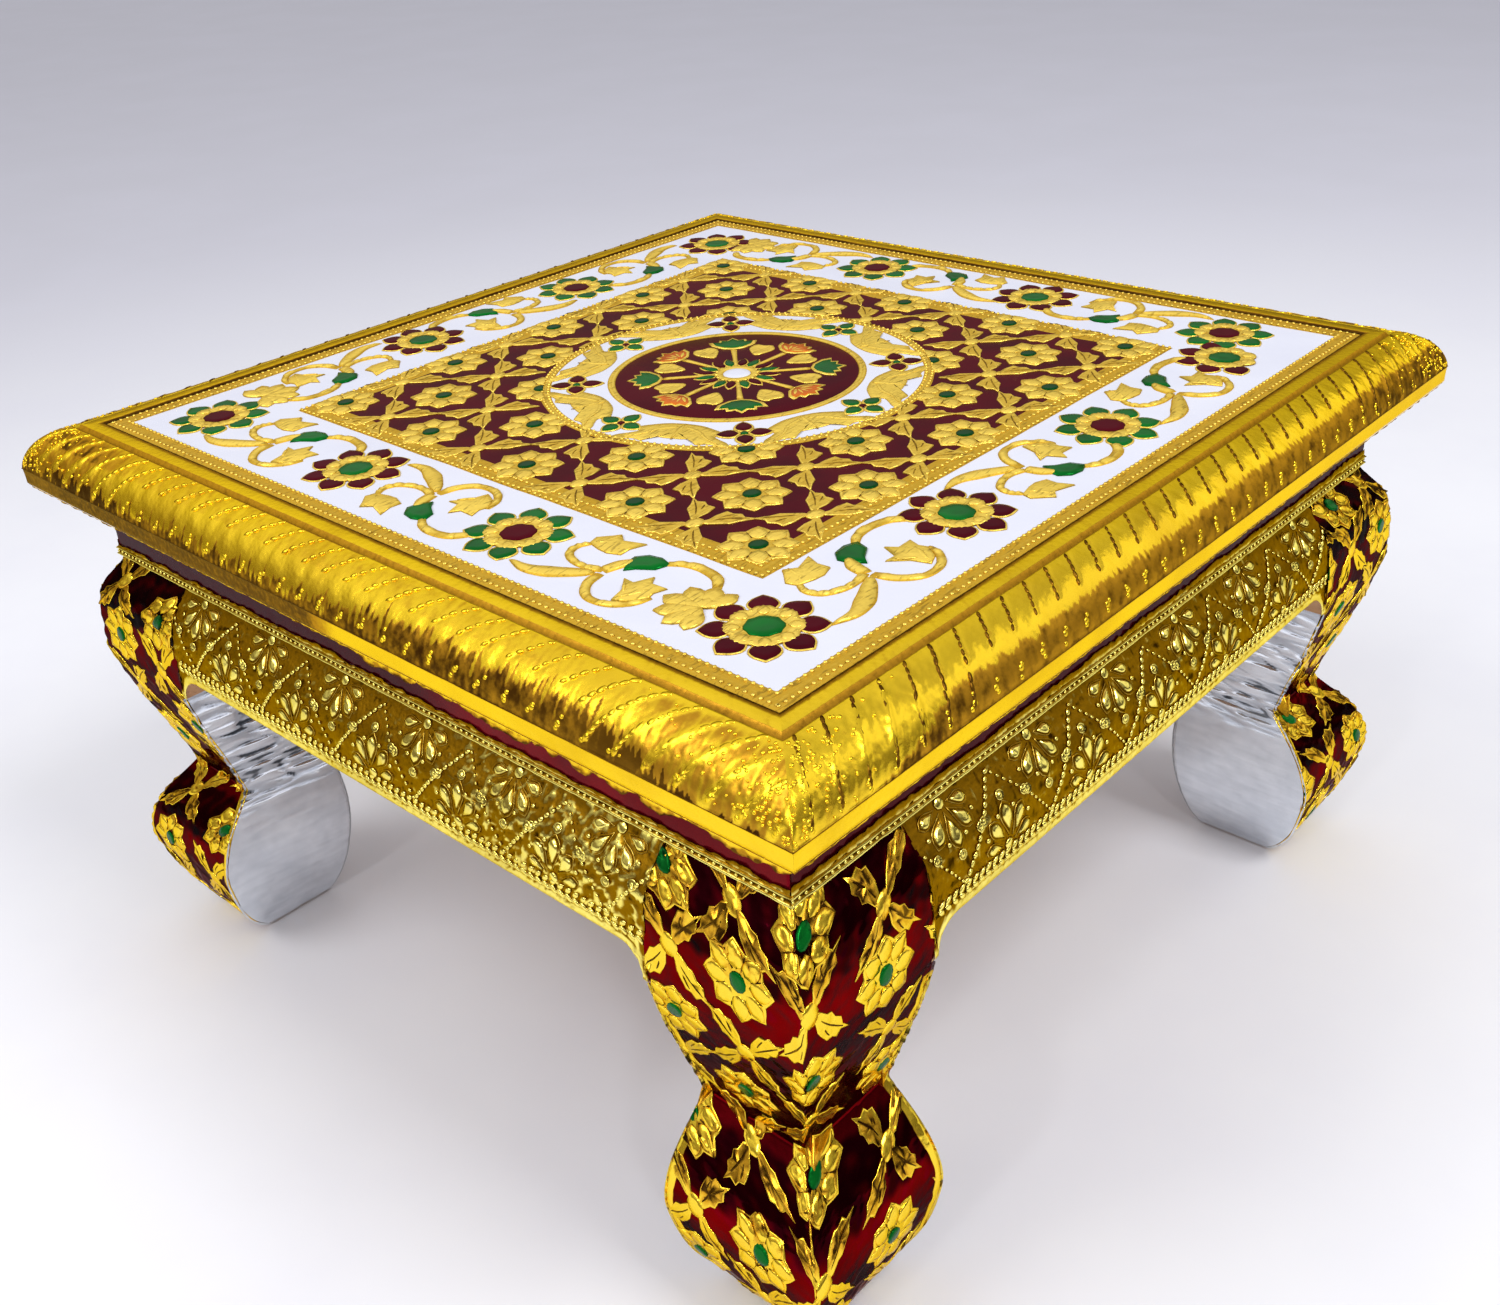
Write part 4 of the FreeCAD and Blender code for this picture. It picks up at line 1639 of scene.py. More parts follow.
    def ovolo_tones(self, lie: Lie, kind: int, seed: int) -> Array:
        """Tones of the ovolo, a painted reflection: bright down to a toothed line, which lies lower near the
        corner nearest the camera, and dark below it. The right and left have their own levels, with painted
        shade in their grooves, and painted shade lies in the hollows between the ridges near the mitres.

        Args:
            lie: The ground's points.
            kind: The side's kind.
            seed: Seed of the noise.

        Returns:
            The tone at each point.
        """
        u, v, way, fine = lie.u, lie.v, lie.way, lie.fine
        near, far = self.painted_reflection_ends[kind]
        end = near + (far - near) * ramp(u, -10.0, 40.0)
        end = end + 9.0 * ramp(np.where(kind, -u, u), *self.near_corner)
        ragged = end - way + self.teeth[kind] * (fine + 0.5 * ripple(u, v, 9.0, seed + 4, 0.7))
        bright = np.clip(0.5 + ragged, 0, 1)
        struck = 0.2 * (ramp(way, 9.0, 8.0) * ramp(u, 100.0, 80.0))
        softened = np.where(kind, 0.1 * ramp(way, 5.0, 6.0), struck)
        # Painted reflection: bright above the toothed line, dark below it, the right and left at their own
        # levels with painted shade in their grooves
        shade = 0.2 + 0.08 * kind + (0.64 - softened) * bright
        shade = shade + 0.07 * ripple(u, v, 3.0, seed + 6, 2.0) - 0.2 * (lie.groove > 0.05) * kind
        # Painted shade in the hollows between the ridges near the mitres
        hollow = np.clip(0.75 - 1.3 * lie.ridge + 0.25 * fine, 0, 0.75) * lie.cornered
        return shade - hollow * ramp(way, 0, 3) * np.where(kind, 0.16, 0.6)

    def ground(self, side: Side, seed: int) -> Patch:
        """The foil's ground: dented and ridged over the ovolo, plain on lip and fillet.

        Args:
            side: Which side. The fillet carries a painted shade at the left of the front alone.
            seed: Seed of the dents.

        Returns:
            The ground's patch.
        """
        lie = self.lie(side.kind, seed)
        u, v = lie.u, lie.v
        top, foot = self.ovolo_span
        rise = self.rises(lie, seed)
        # Painted shade on the fillet at the left of the front
        fillet = 0.85 - 0.7 * (side is Side.FRONT) * ramp(u, 12.0, -3.0)
        lip = self.lip_tone + 0.1 * ripple(u, v, 2.0, seed + 7, 0.12)
        level_tone = np.where(v > top, lip, fillet)
        tone = level_tone * (1 - lie.mask) + self.ovolo_tones(lie, side.kind, seed) * lie.mask
        # Painted shade in the quirk
        tone = np.where((v < -self.profile.run[self.QUIRK]) & (v > top + 0.1), self.quirk_shade_tone, tone)
        # A dark line on the seam at the lip's inner edge, and painted shade in the crease at the ovolo's foot
        seam = (np.abs(v - foot) < self.crease_half) | (v > -self.seam_width)
        tone = np.where(seam, self.seam_and_crease_shade_tone, tone)
        return grid(u, v, rise, np.clip(tone, 0, 1))

    def rows(self, kind: int, seed: int) -> Patch:
        """Rows of long beads over the ovolo, with round beads at the foot of each.

        Args:
            kind: The side's kind.
            seed: Seed of the small differences.

        Returns:
            The beads.
        """
        rng = np.random.default_rng(seed)
        top, foot = self.ovolo_span
        lines = self.row_starts()
        steps = np.arange(1.0, (top - foot) - 2.5, 1.75)
        base, down = np.meshgrid(lines, steps)
        u = base + self.row_lean(down, kind) + rng.normal(0, 0.12, base.shape)
        offset = self.profile.offset_at(top - down)
        crowded = np.abs(u) > self.half - self.corner_reach
        keep = (np.abs(u) < offset - 1.2) & (crowded | (down < self.row_reach))
        ahead = self.row_lean(down + 0.5, kind) - self.row_lean(down - 0.5, kind)
        slope = np.arctan2(-1.0, ahead) + rng.normal(0, 0.12, u.shape)
        sizes = rng.uniform(0.85, 1.15, u.shape) + 0.25 * crowded
        places = np.stack([u, top - down, slope, sizes], -1)[keep]
        outline = ring_outline(1.0, 8) * (1.25, self.dash_halves[kind])
        # Dashes carry painted light: bright on the front and back, painted shade on the right and left
        dash = plate(outline, [(1.0, 0.0), (0.76, 0.8)], None, list(self.dash_painted_light_tones[kind]))
        feet = np.vstack([
            spots(lines + self.row_lean(top - foot - way, kind), foot + way, 0, size)
            for way, size in ((4.6, 0.7), (3.3, 1.0), (2.1, 0.8))
        ])
        feet = feet[np.abs(feet[:, 0]) < self.half - 1.5]
        feet[:, :2] += rng.normal(0, 0.35, (len(feet), 2))
        return join([lifted(stamp(dash, places), 0.25, 1.0), lifted(stamp(BEAD, feet), 0.2, 1.0)])

    def corners(self, seed: int) -> Patch:
        """Small crowded beads near both mitres.

        Args:
            seed: Seed of the places.

        Returns:
            The beads.
        """
        rng = np.random.default_rng(seed)
        top, foot = self.ovolo_span
        v = rng.uniform(foot + 1.0, top - 1.0, self.corner_beads)
        way = np.where(np.arange(self.corner_beads) % 2, 1.0, -1.0)
        u = (self.profile.offset_at(v) - 0.8 - rng.exponential(9.0, self.corner_beads)) * way
        sizes = rng.uniform(0.35, 0.75, self.corner_beads)
        places = spots(u, v, rng.uniform(0, 3, self.corner_beads), sizes)
        return lifted(stamp(SMALL_BEAD, places), 0.3, 1.0)

    def hem(self, kind: int, seed: int) -> Patch:
        """The foil's loose lower edge: ragged tongues on one half of kind 0, else a thin fold.

        Args:
            kind: The side's kind.
            seed: Seed of the noise.

        Returns:
            The edge's patch.
        """
        share = np.linspace(-1, 1, 481)
        u = share * (self.half - 1.0)
        long = ripple(u, 0 * u, 13.0, seed)
        tongues = 0.5 + 1.6 * np.clip(long + 0.2, 0, 1) ** 0.5 + 0.3 * ripple(u, 0 * u, 4.0, seed + 1)
        drop = 0.35 + (tongues - 0.35) * ramp(u, -10.0, 20.0) * (1 - kind)
        drop *= ramp(self.half - 1 - np.abs(u), 0, 4.0)
        rows = np.linspace(-1, 0, 6)[:, None]
        u, v = np.broadcast_arrays(u, rows * np.clip(drop, 0.05, 2.2))
        rise = 0.5 + 0.4 * ripple(u, v * 4, 5.0, seed + 2) * -rows
        tone = 0.9 + 0.9 * rows + 0.3 * ripple(u, v * 3, 3.0, seed + 3)
        return grid(u, v, np.clip(rise, 0.1, 1.0), np.clip(tone, 0, 1))

    def build(self) -> None:
        """Build the foil of the four rails and dress the rails."""
        edge = self.half - self.setback - 0.2
        hem_line = straight(edge, self.bottom + 0.2, self.bottom - self.hem_drop, 5)
        for side in Side:
            hem_sheet = RailSheet(hem_line, self.hem_relief, side.value)
            hem = self.hem(side.kind, Seed.HEM + side.value)
            piece(f"moulding_hem_{side.label}", hem_sheet, hem, Finish.GOLD)
            seed = Seed.MOULDING + side.value
            rows = self.rows(side.kind, seed)
            foil = join([self.ground(side, seed), rows, self.corners(seed)])
            sheet = RailSheet(self.profile, self.relief, side.value)
            piece(f"moulding_foil_{side.label}", sheet, foil, Finish.GOLD, (f"moulding_skin_{side.label}",))
            WARDROBE.dress_node(f"moulding_rail_{side.label}", Finish.WOOD)


# The neck


@dataclass
class Neck:
    """The maroon band under the moulding and the beaded strip at its foot."""

    half: float = 136.5
    top: float = 160.0
    bottom: float = 135.0
    strip: float = 3.2
    proud: float = 0.9
    pitch: float = 2.1
    band_relief: float = 0.6
    strip_relief: float = 1.0
    fringe_relief: float = 0.5
    fringe_proud: float = 0.4
    fringe_tall: Pair = (0.9, 2.0)
    fringe_reach: float = 3.6

    def band(self, kind: int, seed: int) -> Patch:
        """The maroon-painted band, dented as foil over wood: dark with painted shade under the moulding,
        bright with painted light only toward the right end of kind 0.

        Args:
            kind: The side's kind.
            seed: Seed of the noise.

        Returns:
            The band's patch.
        """
        share = np.linspace(-1, 1, 241)
        down = np.linspace(self.top - self.bottom, 0, 20)[:, None] * np.ones_like(share)
        u = share * (self.half + 1) * np.ones_like(down)
        rise = 0.6 + 0.12 * ripple(u, down, 14.0, seed, 0.5) * np.sin(np.pi * np.clip(down / 24, 0.05, 1))
        # Painted shade under the moulding; painted light toward the right end of kind 0
        tone = 0.2 + np.minimum(ramp(u, 10.0, 70.0), 0.8) * (1 - kind)
        return grid(u, -down, np.clip(rise, 0.1, 1.0), tone)

    def strip_patch(self, seed: int) -> Patch:
        """Two fine rolled lines with a row of dots between them.

        Args:
            seed: Seed of the noise.

        Returns:
            The strip's patch.
        """
        share = np.linspace(-1, 1, 241)
        levels = np.array([0.0, 0.6, 0.95, 0.6, 0.2, 0.15, 0.15, 0.5, 0.85, 0.5, 0.2])
        down = np.linspace(self.strip, 0, len(levels))[:, None] * np.ones_like(share)
        u = share * (self.half + 2) * np.ones_like(down)
        rise = np.clip(levels[:, None] * (1 + 0.16 * ripple(u, down, 7.0, seed)), 0, 1)
        dots = np.arange(-self.half, self.half, self.pitch)
        beads = stamp(SMALL_BEAD, spots(dots, -self.strip * 0.52, 0, 0.62))
        return join([grid(u, -down, rise), lifted(beads, 0.1, 0.8)])

    def fringe(self, kind: int, seed: int) -> Patch:
        """The apron foil's upper edge, folded ragged over the band.

        Args:
            kind: The side's kind.
            seed: Seed of the noise.

        Returns:
            The edge's patch.
        """
        share = np.linspace(-1, 1, 301)
        u = share * self.half
        slow, quick = ripple(u, 0 * u, 15.0, seed), ripple(u, 0 * u, 3.0, seed + 1)
        tall = self.fringe_tall[kind] + 0.5 * slow + 0.25 * quick
        rows = np.linspace(0, 1, 5)[:, None]
        u, v = np.broadcast_arrays(u, rows * np.clip(tall, 0.2, self.fringe_reach - 0.2))
        rise = 0.55 + 0.4 * ripple(u, v * 5, 4.0, seed + 2)
        return grid(u, v - self.fringe_reach, np.clip(rise, 0.1, 1.0), 0.75 - 0.6 * rows)

    def build(self) -> None:
        """Build band, fringe and strip on each side."""
        low = self.bottom + self.strip
        band_line = straight(self.half, self.top, self.bottom, 27)
        strip_line = straight(self.half + self.proud, low, self.bottom, 5)
        fringe_line = straight(self.half + self.fringe_proud, low + self.fringe_reach, low, 4)
        for side in Side:
            name, turns = side.label, side.value
            paint = self.band(side.kind, Seed.BAND + turns)
            sheet = RailSheet(band_line, self.band_relief, turns)
            piece(f"neck_paint_{name}", sheet, paint, Finish.PAINT, (f"neck_band_{name}",))
            fringe = self.fringe(side.kind, Seed.FRINGE + turns)
            sheet = RailSheet(fringe_line, self.fringe_relief, turns)
            piece(f"neck_fringe_{name}", sheet, fringe, Finish.AMBER)
            strip = self.strip_patch(Seed.STRIP + turns)
            sheet = RailSheet(strip_line, self.strip_relief, turns)
            piece(f"bead_line_{name}", sheet, strip, Finish.AMBER, (f"bead_strip_{name}",))
            WARDROBE.dress_node(f"neck_rail_{name}", Finish.WOOD)


# The aprons


@dataclass
class Apron:
    """The swelling aprons: beaded zigzag, half flowers and a folded lower edge."""

    bottom: float = 108.5
    lowest: float = 100.5
    reach: float = 99.9
    ear_tip: float = 1.2
    ear_radius: float = 8.0
    relief: float = 0.9
    pitch: float = 35.0
    edge: float = 6.2
    face_from: float = 134.0
    zigzag_top: float = -2.2
    zigzag_step: float = 2.0
    flower_margin: float = 6.0
    drop_start: float = 1.9
    bead_reach: float = 9.6
    ring_reach: float = 13.2
    leaf_step: float = 2.6

    def on_end_face(self, points: Array) -> Array:
        """Which points of the front apron's board lie on an end and on its outer face."""
        return (np.abs(points[:, 0]) > self.reach - 0.05) & (points[:, 1] < -self.face_from)

    @cached_property
    def profile(self) -> Profile:
        """The section, read from the front board's end and moved out to the foil."""
        return node_profile("apron_front", self.on_end_face, 1.0)

    @cached_property
    def foot(self) -> float:
        """How far down the section the apron ends."""
        return self.profile.v_at(self.bottom)

    def low_level(self, u: Array) -> Array:
        """The lowest level at each place: straight, then round an ear at each end."""
        into = np.clip(np.abs(u) - (self.reach - self.ear_tip - self.ear_radius), 0, self.ear_radius)
        return self.lowest + np.sqrt(self.ear_radius**2 - into**2)

    def ground(self, kind: int, seed: int) -> Patch:
        """The foil's ground, stretched between neck and lower edge, crumpled on the front, with painted
        highlights along the wrinkles there.

        Args:
            kind: The side's kind.
            seed: Seed of the noise.

        Returns:
            The ground's patch.
        """
        ear = self.reach - self.ear_tip - self.ear_radius
        ends = ear + self.ear_radius * np.sin(np.linspace(0, np.pi / 2, 9))
        run = np.unique(np.concatenate([np.linspace(-ear, ear, 221), ends, -ends, [-self.reach, self.reach]]))
        low_v = np.array([self.profile.v_at(level) for level in self.low_level(run)])
        share = np.linspace(1, 0, 41)[:, None]
        v = share * low_v
        u = run * np.ones_like(share)
        crumpled = ramp(u, 15, 45) * (kind == 0)
        rough = ripple(u, v, 4.2, seed)
        fine = ripple(u, v, 1.9, seed + 3)
        wrinkle = folds(u, v, 6.0, seed + 5, 3.2)
        fold = ramp(v - low_v, 0, 3.2)
        ground = 0.28 + 0.08 * rough + 0.06 * fine + 0.4 * crumpled * wrinkle
        lip = folds(u, v * 2, 4.0, seed + 8, 4.0)
        rise = np.where(fold < 1, 0.7 - 0.25 * fold + 0.08 * rough, ground)
        # Painted highlights along the front's wrinkles
        ground_tone = 0.36 + 0.15 * rough + 0.12 * fine + 0.6 * crumpled * wrinkle
        tone = np.where(fold < 1, 0.95 - 0.5 * fold**3 - 0.55 * lip * fold, ground_tone)
        rise[0] = 0.1
        return grid(u, v, np.clip(rise, 0.06, 0.85), np.clip(tone, 0, 1))

    def zigzag(self) -> Patch:
        """Beads along a zigzag from the upper edge to the leafy strip.

        Returns:
            The beads.
        """
        high, low = self.zigzag_top, self.foot + self.edge
        run = np.arange(-self.reach + 1, self.reach, 0.5)
        wave = np.abs((run / self.pitch) % 1.0 - 0.5) * 2
        line = np.column_stack([run, low + (high - low) * wave])
        length = np.r_[0, np.cumsum(np.linalg.norm(np.diff(line, axis=0), axis=1))]
        even = np.arange(0, length[-1], self.zigzag_step)
        u, v = np.interp(even, length, line[:, 0]), np.interp(even, length, line[:, 1])
        slope = np.arctan2(np.gradient(v), np.gradient(u))
        size = np.where(np.gradient(v) > 0, 1.0, 0.6)
        bead = plate(ring_outline(1.0, 8) * (1.05, 0.68), [(1.0, 0.0), (0.75, 0.8)], None, [0.1, 1.0])
        return stamp(bead, spots(u, v, slope, size))

    def half_flower(self, u: float, v: float, turn: float) -> list[Patch]:
        """Five drops that fan out from a bead, with rings and beads beyond them.

        Args:
            u: Along the apron.
            v: Down the apron.
            turn: Which way it fans out, in radians.

        Returns:
            Its drops, beads and rings.
        """
        turns = turn + np.radians([-76, -38, 0, 38, 76])
        sizes = (0.86, 1.05, 1.15, 1.05, 0.86)
        between = turn + np.radians([-57, -19, 19, 57])
        fans = ((self.drop_start, turns), (self.bead_reach, between), (self.ring_reach, turns[1:4]))
        first, second, third = (
            [(u + radius * math.cos(t), v + radius * math.sin(t)) for t in ways] for radius, ways in fans
        )
        drops = [(*place, t, s) for place, t, s in zip(first, turns, sizes)]
        beyond = [(*place, 0, 0.7) for place in second]
        rings = [(*place, 0, 1.0) for place in third]
        ring = plate(ring_outline(1.5, 10), [(1.0, 0.0), (0.85, 0.8), (0.6, 0.3), (0.3, 0.9)])
        return [stamp(teardrop(8.8, 4.4), drops), stamp(BEAD, [(u, v, 0, 1.7), *beyond]), stamp(ring, rings)]

    def flowers(self) -> Patch:
        """Half flowers standing in the upright triangles and hanging in the others.

        Returns:
            The flowers.
        """
        low, high = self.foot + self.edge + 0.6, -1.8
        parts = []
        for centre in np.arange(-3, 4) * self.pitch:
            if abs(centre) < self.reach - self.flower_margin:
                parts += self.half_flower(centre, low, math.pi / 2)
            if abs(centre + self.pitch / 2) < self.reach - self.flower_margin:
                parts += self.half_flower(centre + self.pitch / 2, high, -math.pi / 2)
        return join(parts)

    def leaf_strip(self) -> Patch:
        """A strip of small slanted leaves between the zigzag and the folded edge.

        Returns:
            The leaves and their cord.
        """
        run = np.arange(-self.reach + 2, self.reach - 1, self.leaf_step)
        leaf = petal(3.0, 1.5, 1.0, 8)
        leaves = [stamp(leaf, spots(run, self.foot + 4.5, turn)) for turn in (0.7, -0.7)]
        end, cord = self.reach - 1, self.foot + 3.2
        line = stroke([(-end, cord), (0, cord), (end, cord)], [0.9, 0.9], 60)
        return join([*leaves, lifted(line, 0.2, 0.8)])

    def build(self) -> None:
        """Build the foil of the four aprons and dress their boards."""
        for side in Side:
            name = side.label
            dents = Dents(0.24, 7.0, Seed.APRON_DENTS + side.value)
            sheet = RailSheet(self.profile, self.relief, side.value, self.reach, dents)
            ornament = join([self.zigzag(), self.flowers(), self.leaf_strip()])
            ground = self.ground(side.kind, Seed.APRON + side.value)
            patch = join([ground, lifted(ornament, 0.15, 1.0)])
            piece(f"apron_foil_{name}", sheet, patch, Finish.AMBER, (f"apron_skin_{name}",))
            WARDROBE.dress_node(f"apron_{name}", Finish.WOOD)


# The legs


@dataclass
class Leg:
    """The legs: maroon foil with gold daisies round the ridge, silver lining inside."""

    foot_level: float = 0.6
    ankle: float = 59.5
    relief: float = 0.9
    lining_relief: float = 0.8
    apron_inner: float = 123.9
    apron_lowest: float = 100.5
    ridge_parting: float = 122.0
    pitch: float = 41.2
    daisy_radius: float = 10.3
    pattern_start: float = -17.0
    corner_shift: float = 9.0
    jitter: float = 0.5
    turn_jitter: float = 0.06
    sag_share: float = 0.26
    right_stretch: float = 1.2
    knee: Pair = (114, 120)
    under_ankle: tuple[Pair, Pair] = ((58, 55), (38, 42))
    ridge_levels: Triple = (54, 40, 24)
    edge_levels: Pair = (99.0, 2.0)
    edge_inset: float = 1.4
    row_levels: tuple[float, ...] = (131.5, 115.5, 95.0, 75.0, 55.5, 36.5, 17.0, 1.0)

    def on_ridge(self, points: Array, way: int) -> Array:
        """Which points of the front right leg lie on its outer (1) or inner (-1) ridge."""
        level = np.abs(points[:, 0] + points[:, 1]) < 0.02
        return level & (way * (points[:, 0] - self.ridge_parting) > 0)

    @cached_property
    def outer(self) -> Profile:
        """The outer S, read from the wooden leg's ridge and moved out to the foil."""
        return node_profile("leg_front_right", lambda points: self.on_ridge(points, 1), 1.0)

    @cached_property
    def inner(self) -> Profile:
        """The inner line, read from the wooden leg's inner ridge and moved in."""
        return node_profile("leg_front_right", lambda points: self.on_ridge(points, -1), -1.0)

    def widths(self, v: Array) -> Array:
        """Width of a face at each v."""
        return self.outer.offset_at(v) - self.inner.offset_of(self.outer.level_at(v))

    def ground(self, seed: int) -> Patch:
        """The maroon ground, gently dented.

        Args:
            seed: Seed of the noise.

        Returns:
            The ground's patch.
        """
        bottom = self.outer.v_at(self.foot_level)
        down = np.linspace(bottom, 0, 240)[:, None]
        share = np.linspace(-1, 1, 97)
        v = down * np.ones_like(share)
        u = share * (self.widths(v) + 0.5)
        rise = 0.34 + 0.08 * ripple(u, v, 7.0, seed) + 0.05 * ripple(u, v, 2.8, seed + 4)
        rise[0] = 0.05
        tone = 0.75 - 0.6 * self.steep(v) + 0.15 * ripple(u, v, 6.0, seed + 5)
        return grid(u, v, np.clip(rise, 0.05, 0.7), np.clip(tone, 0, 1))

    def steep(self, v: Array) -> Array:
        """1 where the foil lies crumpled and dark, over the knee and under the ankle, else 0."""
        over, start, end = (ramp(self.outer.level_at(v), *span) for span in (self.knee, *self.under_ankle))
        return over + start * end

    def lattice(self, corner: Corner) -> tuple[Array, Array]:
        """Where the foil's pattern falls: daisies and crossings take turns along each row.

        The pattern is that of the top's field, bent round the ridge. Rows follow the
        leg's curve, and the pattern hangs lower the farther it is round the ridge.

        Args:
            corner: Which leg, which shifts the pattern.

        Returns:
            Places of the daisies and of the crossings.
        """
        rng = np.random.default_rng(Seed.LEG + corner.value)
        start = self.pattern_start + self.corner_shift * corner.value
        places: tuple[list, list] = ([], [])
        for row, level in enumerate(self.row_levels):
            for k in range(-4, 5):
                u = start + (k - (row + 1) % 2) * self.pitch / 2 + rng.normal(0, self.jitter)
                u = u if u < 10 else u * self.right_stretch
                sag = self.sag_share * max(u, 0.0)
                turn = rng.normal(0, self.turn_jitter)
                v = self.outer.v_at(level) - sag + rng.normal(0, self.jitter)
                places[(k + 4) % 2].append((u, v, turn, 1.0))
        return np.array(places[0]), np.array(places[1])

    def ornament(self, corner: Corner) -> tuple[Patch, Patch]:
        """The gold and the green of the pattern.

        Args:
            corner: Which leg.

        Returns:
            The gold and the green.
        """
        gold, heart = daisy(self.daisy_radius)
        daisies, crossings = self.lattice(corner)
        bottom = self.outer.v_at(self.foot_level)
        line = stroke([(0, self.outer.v_at(level)) for level in self.ridge_levels], [0.8, 1.8, 0.8], 24, 2.2)
        gilt = join([stamp(gold, daisies), stamp(crossing(LEG_CROSSING), crossings), line])
        patches = []
        for patch in (gilt, stamp(heart, daisies)):
            u, v, rise, tone = patch.points.T
            limit = self.widths(np.clip(v, bottom, 0)) - 0.3
            inside = (np.abs(u) < limit + 4) & (v > bottom - 3) & (v < 3)
            kept = patch.faces[inside[patch.faces].all(axis=1)]
            steep = self.steep(np.clip(v, bottom, 0))
            crumple = steep * ripple(u, v, 2.6, 17)
            rise = np.clip(rise + 0.32 * crumple * (rise > 0.3), 0, 1)
            tone = np.clip(tone - 0.14 * steep - 0.7 * np.abs(crumple), 0, 1)
            flat = np.stack([np.clip(u, -limit, limit), np.clip(v, bottom, 0), rise, tone], -1)
            used, faces = np.unique(kept, return_inverse=True)
            patches.append(Patch(flat[used], faces.reshape(-1, 3)))
        return patches[0], patches[1]

    def edges(self) -> Patch:
        """Gold edging down both inner edges of the outer faces, nearly to the foot.

        Returns:
            The edging.
        """
        high, low = self.edge_levels
        down = np.linspace(self.outer.v_at(high), self.outer.v_at(low), 70)
        width = self.widths(down)
        parts = []
        for side in (-1, 1):
            line = [(side * (w - self.edge_inset), y) for w, y in zip(width, down)]
            widths = list(2.6 + 0.7 * np.sin(np.arange(18) * 2.1 + side))
            parts.append(stroke(line, widths, 90))
        return lifted(join(parts), 0.2, 0.75)

    def lining(self, seed: int) -> Patch:
        """The silver lining: crinkled across between knee and ankle, smooth on the foot, with painted shade
        along the folds and painted light and shade along the streaks of the crinkles.

        Args:
            seed: Seed of the noise.

        Returns:
            The lining's patch.
        """
        bottom = self.inner.v_at(self.foot_level)
        joint = self.inner.v_at(self.apron_lowest)
        down = np.concatenate([np.linspace(bottom, joint, 250), np.linspace(joint + 0.01, 0, 12)])[:, None]
        share = np.concatenate([-np.linspace(1, 0, 34), np.linspace(0, 1, 34)[1:]])
        v = down * np.ones_like(share)
        level = self.inner.level_at(v)
        near = self.inner.offset_of(level)
        far = np.where(level > self.apron_lowest, self.apron_inner - 0.05, self.outer.offset_of(level) - 0.3)
        u = share * (far - near)
        crinkle = 0.08 + 0.92 * ramp(level, 50, 58) * np.maximum(ramp(level, 94, 84), 0.4)
        streaks = ripple(0.13 * u, v + 0.1 * u, 2.4, seed) + 0.6 * ripple(0.2 * u, v, 6.0, seed + 3)
        fold = folds(0.2 * u, v + 0.15 * u, 7.0, seed + 4, 3.0)
        waves = 0.1 * ripple(u, v, 14.0, seed + 1) + 0.3 * crinkle * streaks
        rise = np.clip(0.6 + waves - 0.3 * crinkle * fold, 0.05, 1.0)
        rise[0] = 0.1
        # Painted shade along the folds, painted light and shade along the streaks
        return grid(u, v, rise, np.clip(0.6 + 0.42 * crinkle * streaks - 0.6 * crinkle * fold, 0, 1))

    def build(self) -> None:
        """Build foil and lining of the four legs and dress the wood."""
        for corner in Corner:
            name = corner.name.lower()
            seed = Seed.LEG + 3 * corner.value
            dents = Dents(0.26, 8.0, Seed.LEG_DENTS + corner.value)
            sheet = LegSheet(self.outer, self.inner, self.relief, corner.value, dents, self.ankle + 6)
            ground = self.ground(seed)
            piece(f"leg_enamel_{name}", sheet, ground, Finish.LEG_MAROON, (f"leg_skin_{name}",))
            gold, green = self.ornament(corner)
            piece(f"leg_gold_{name}", sheet, join([gold, self.edges()]), Finish.LEG_GOLD)
            piece(f"leg_green_{name}", sheet, green, Finish.GREEN)
            lining_sheet = LiningSheet(self.inner, self.lining_relief, corner.value)
            lining = self.lining(seed)
            piece(f"leg_silver_{name}", lining_sheet, lining, Finish.SILVER, (f"leg_lining_{name}",))
            WARDROBE.dress_node(f"leg_{name}", Finish.WOOD)
            WARDROBE.dress_node(f"corner_block_{name}", Finish.WOOD)


# The studio


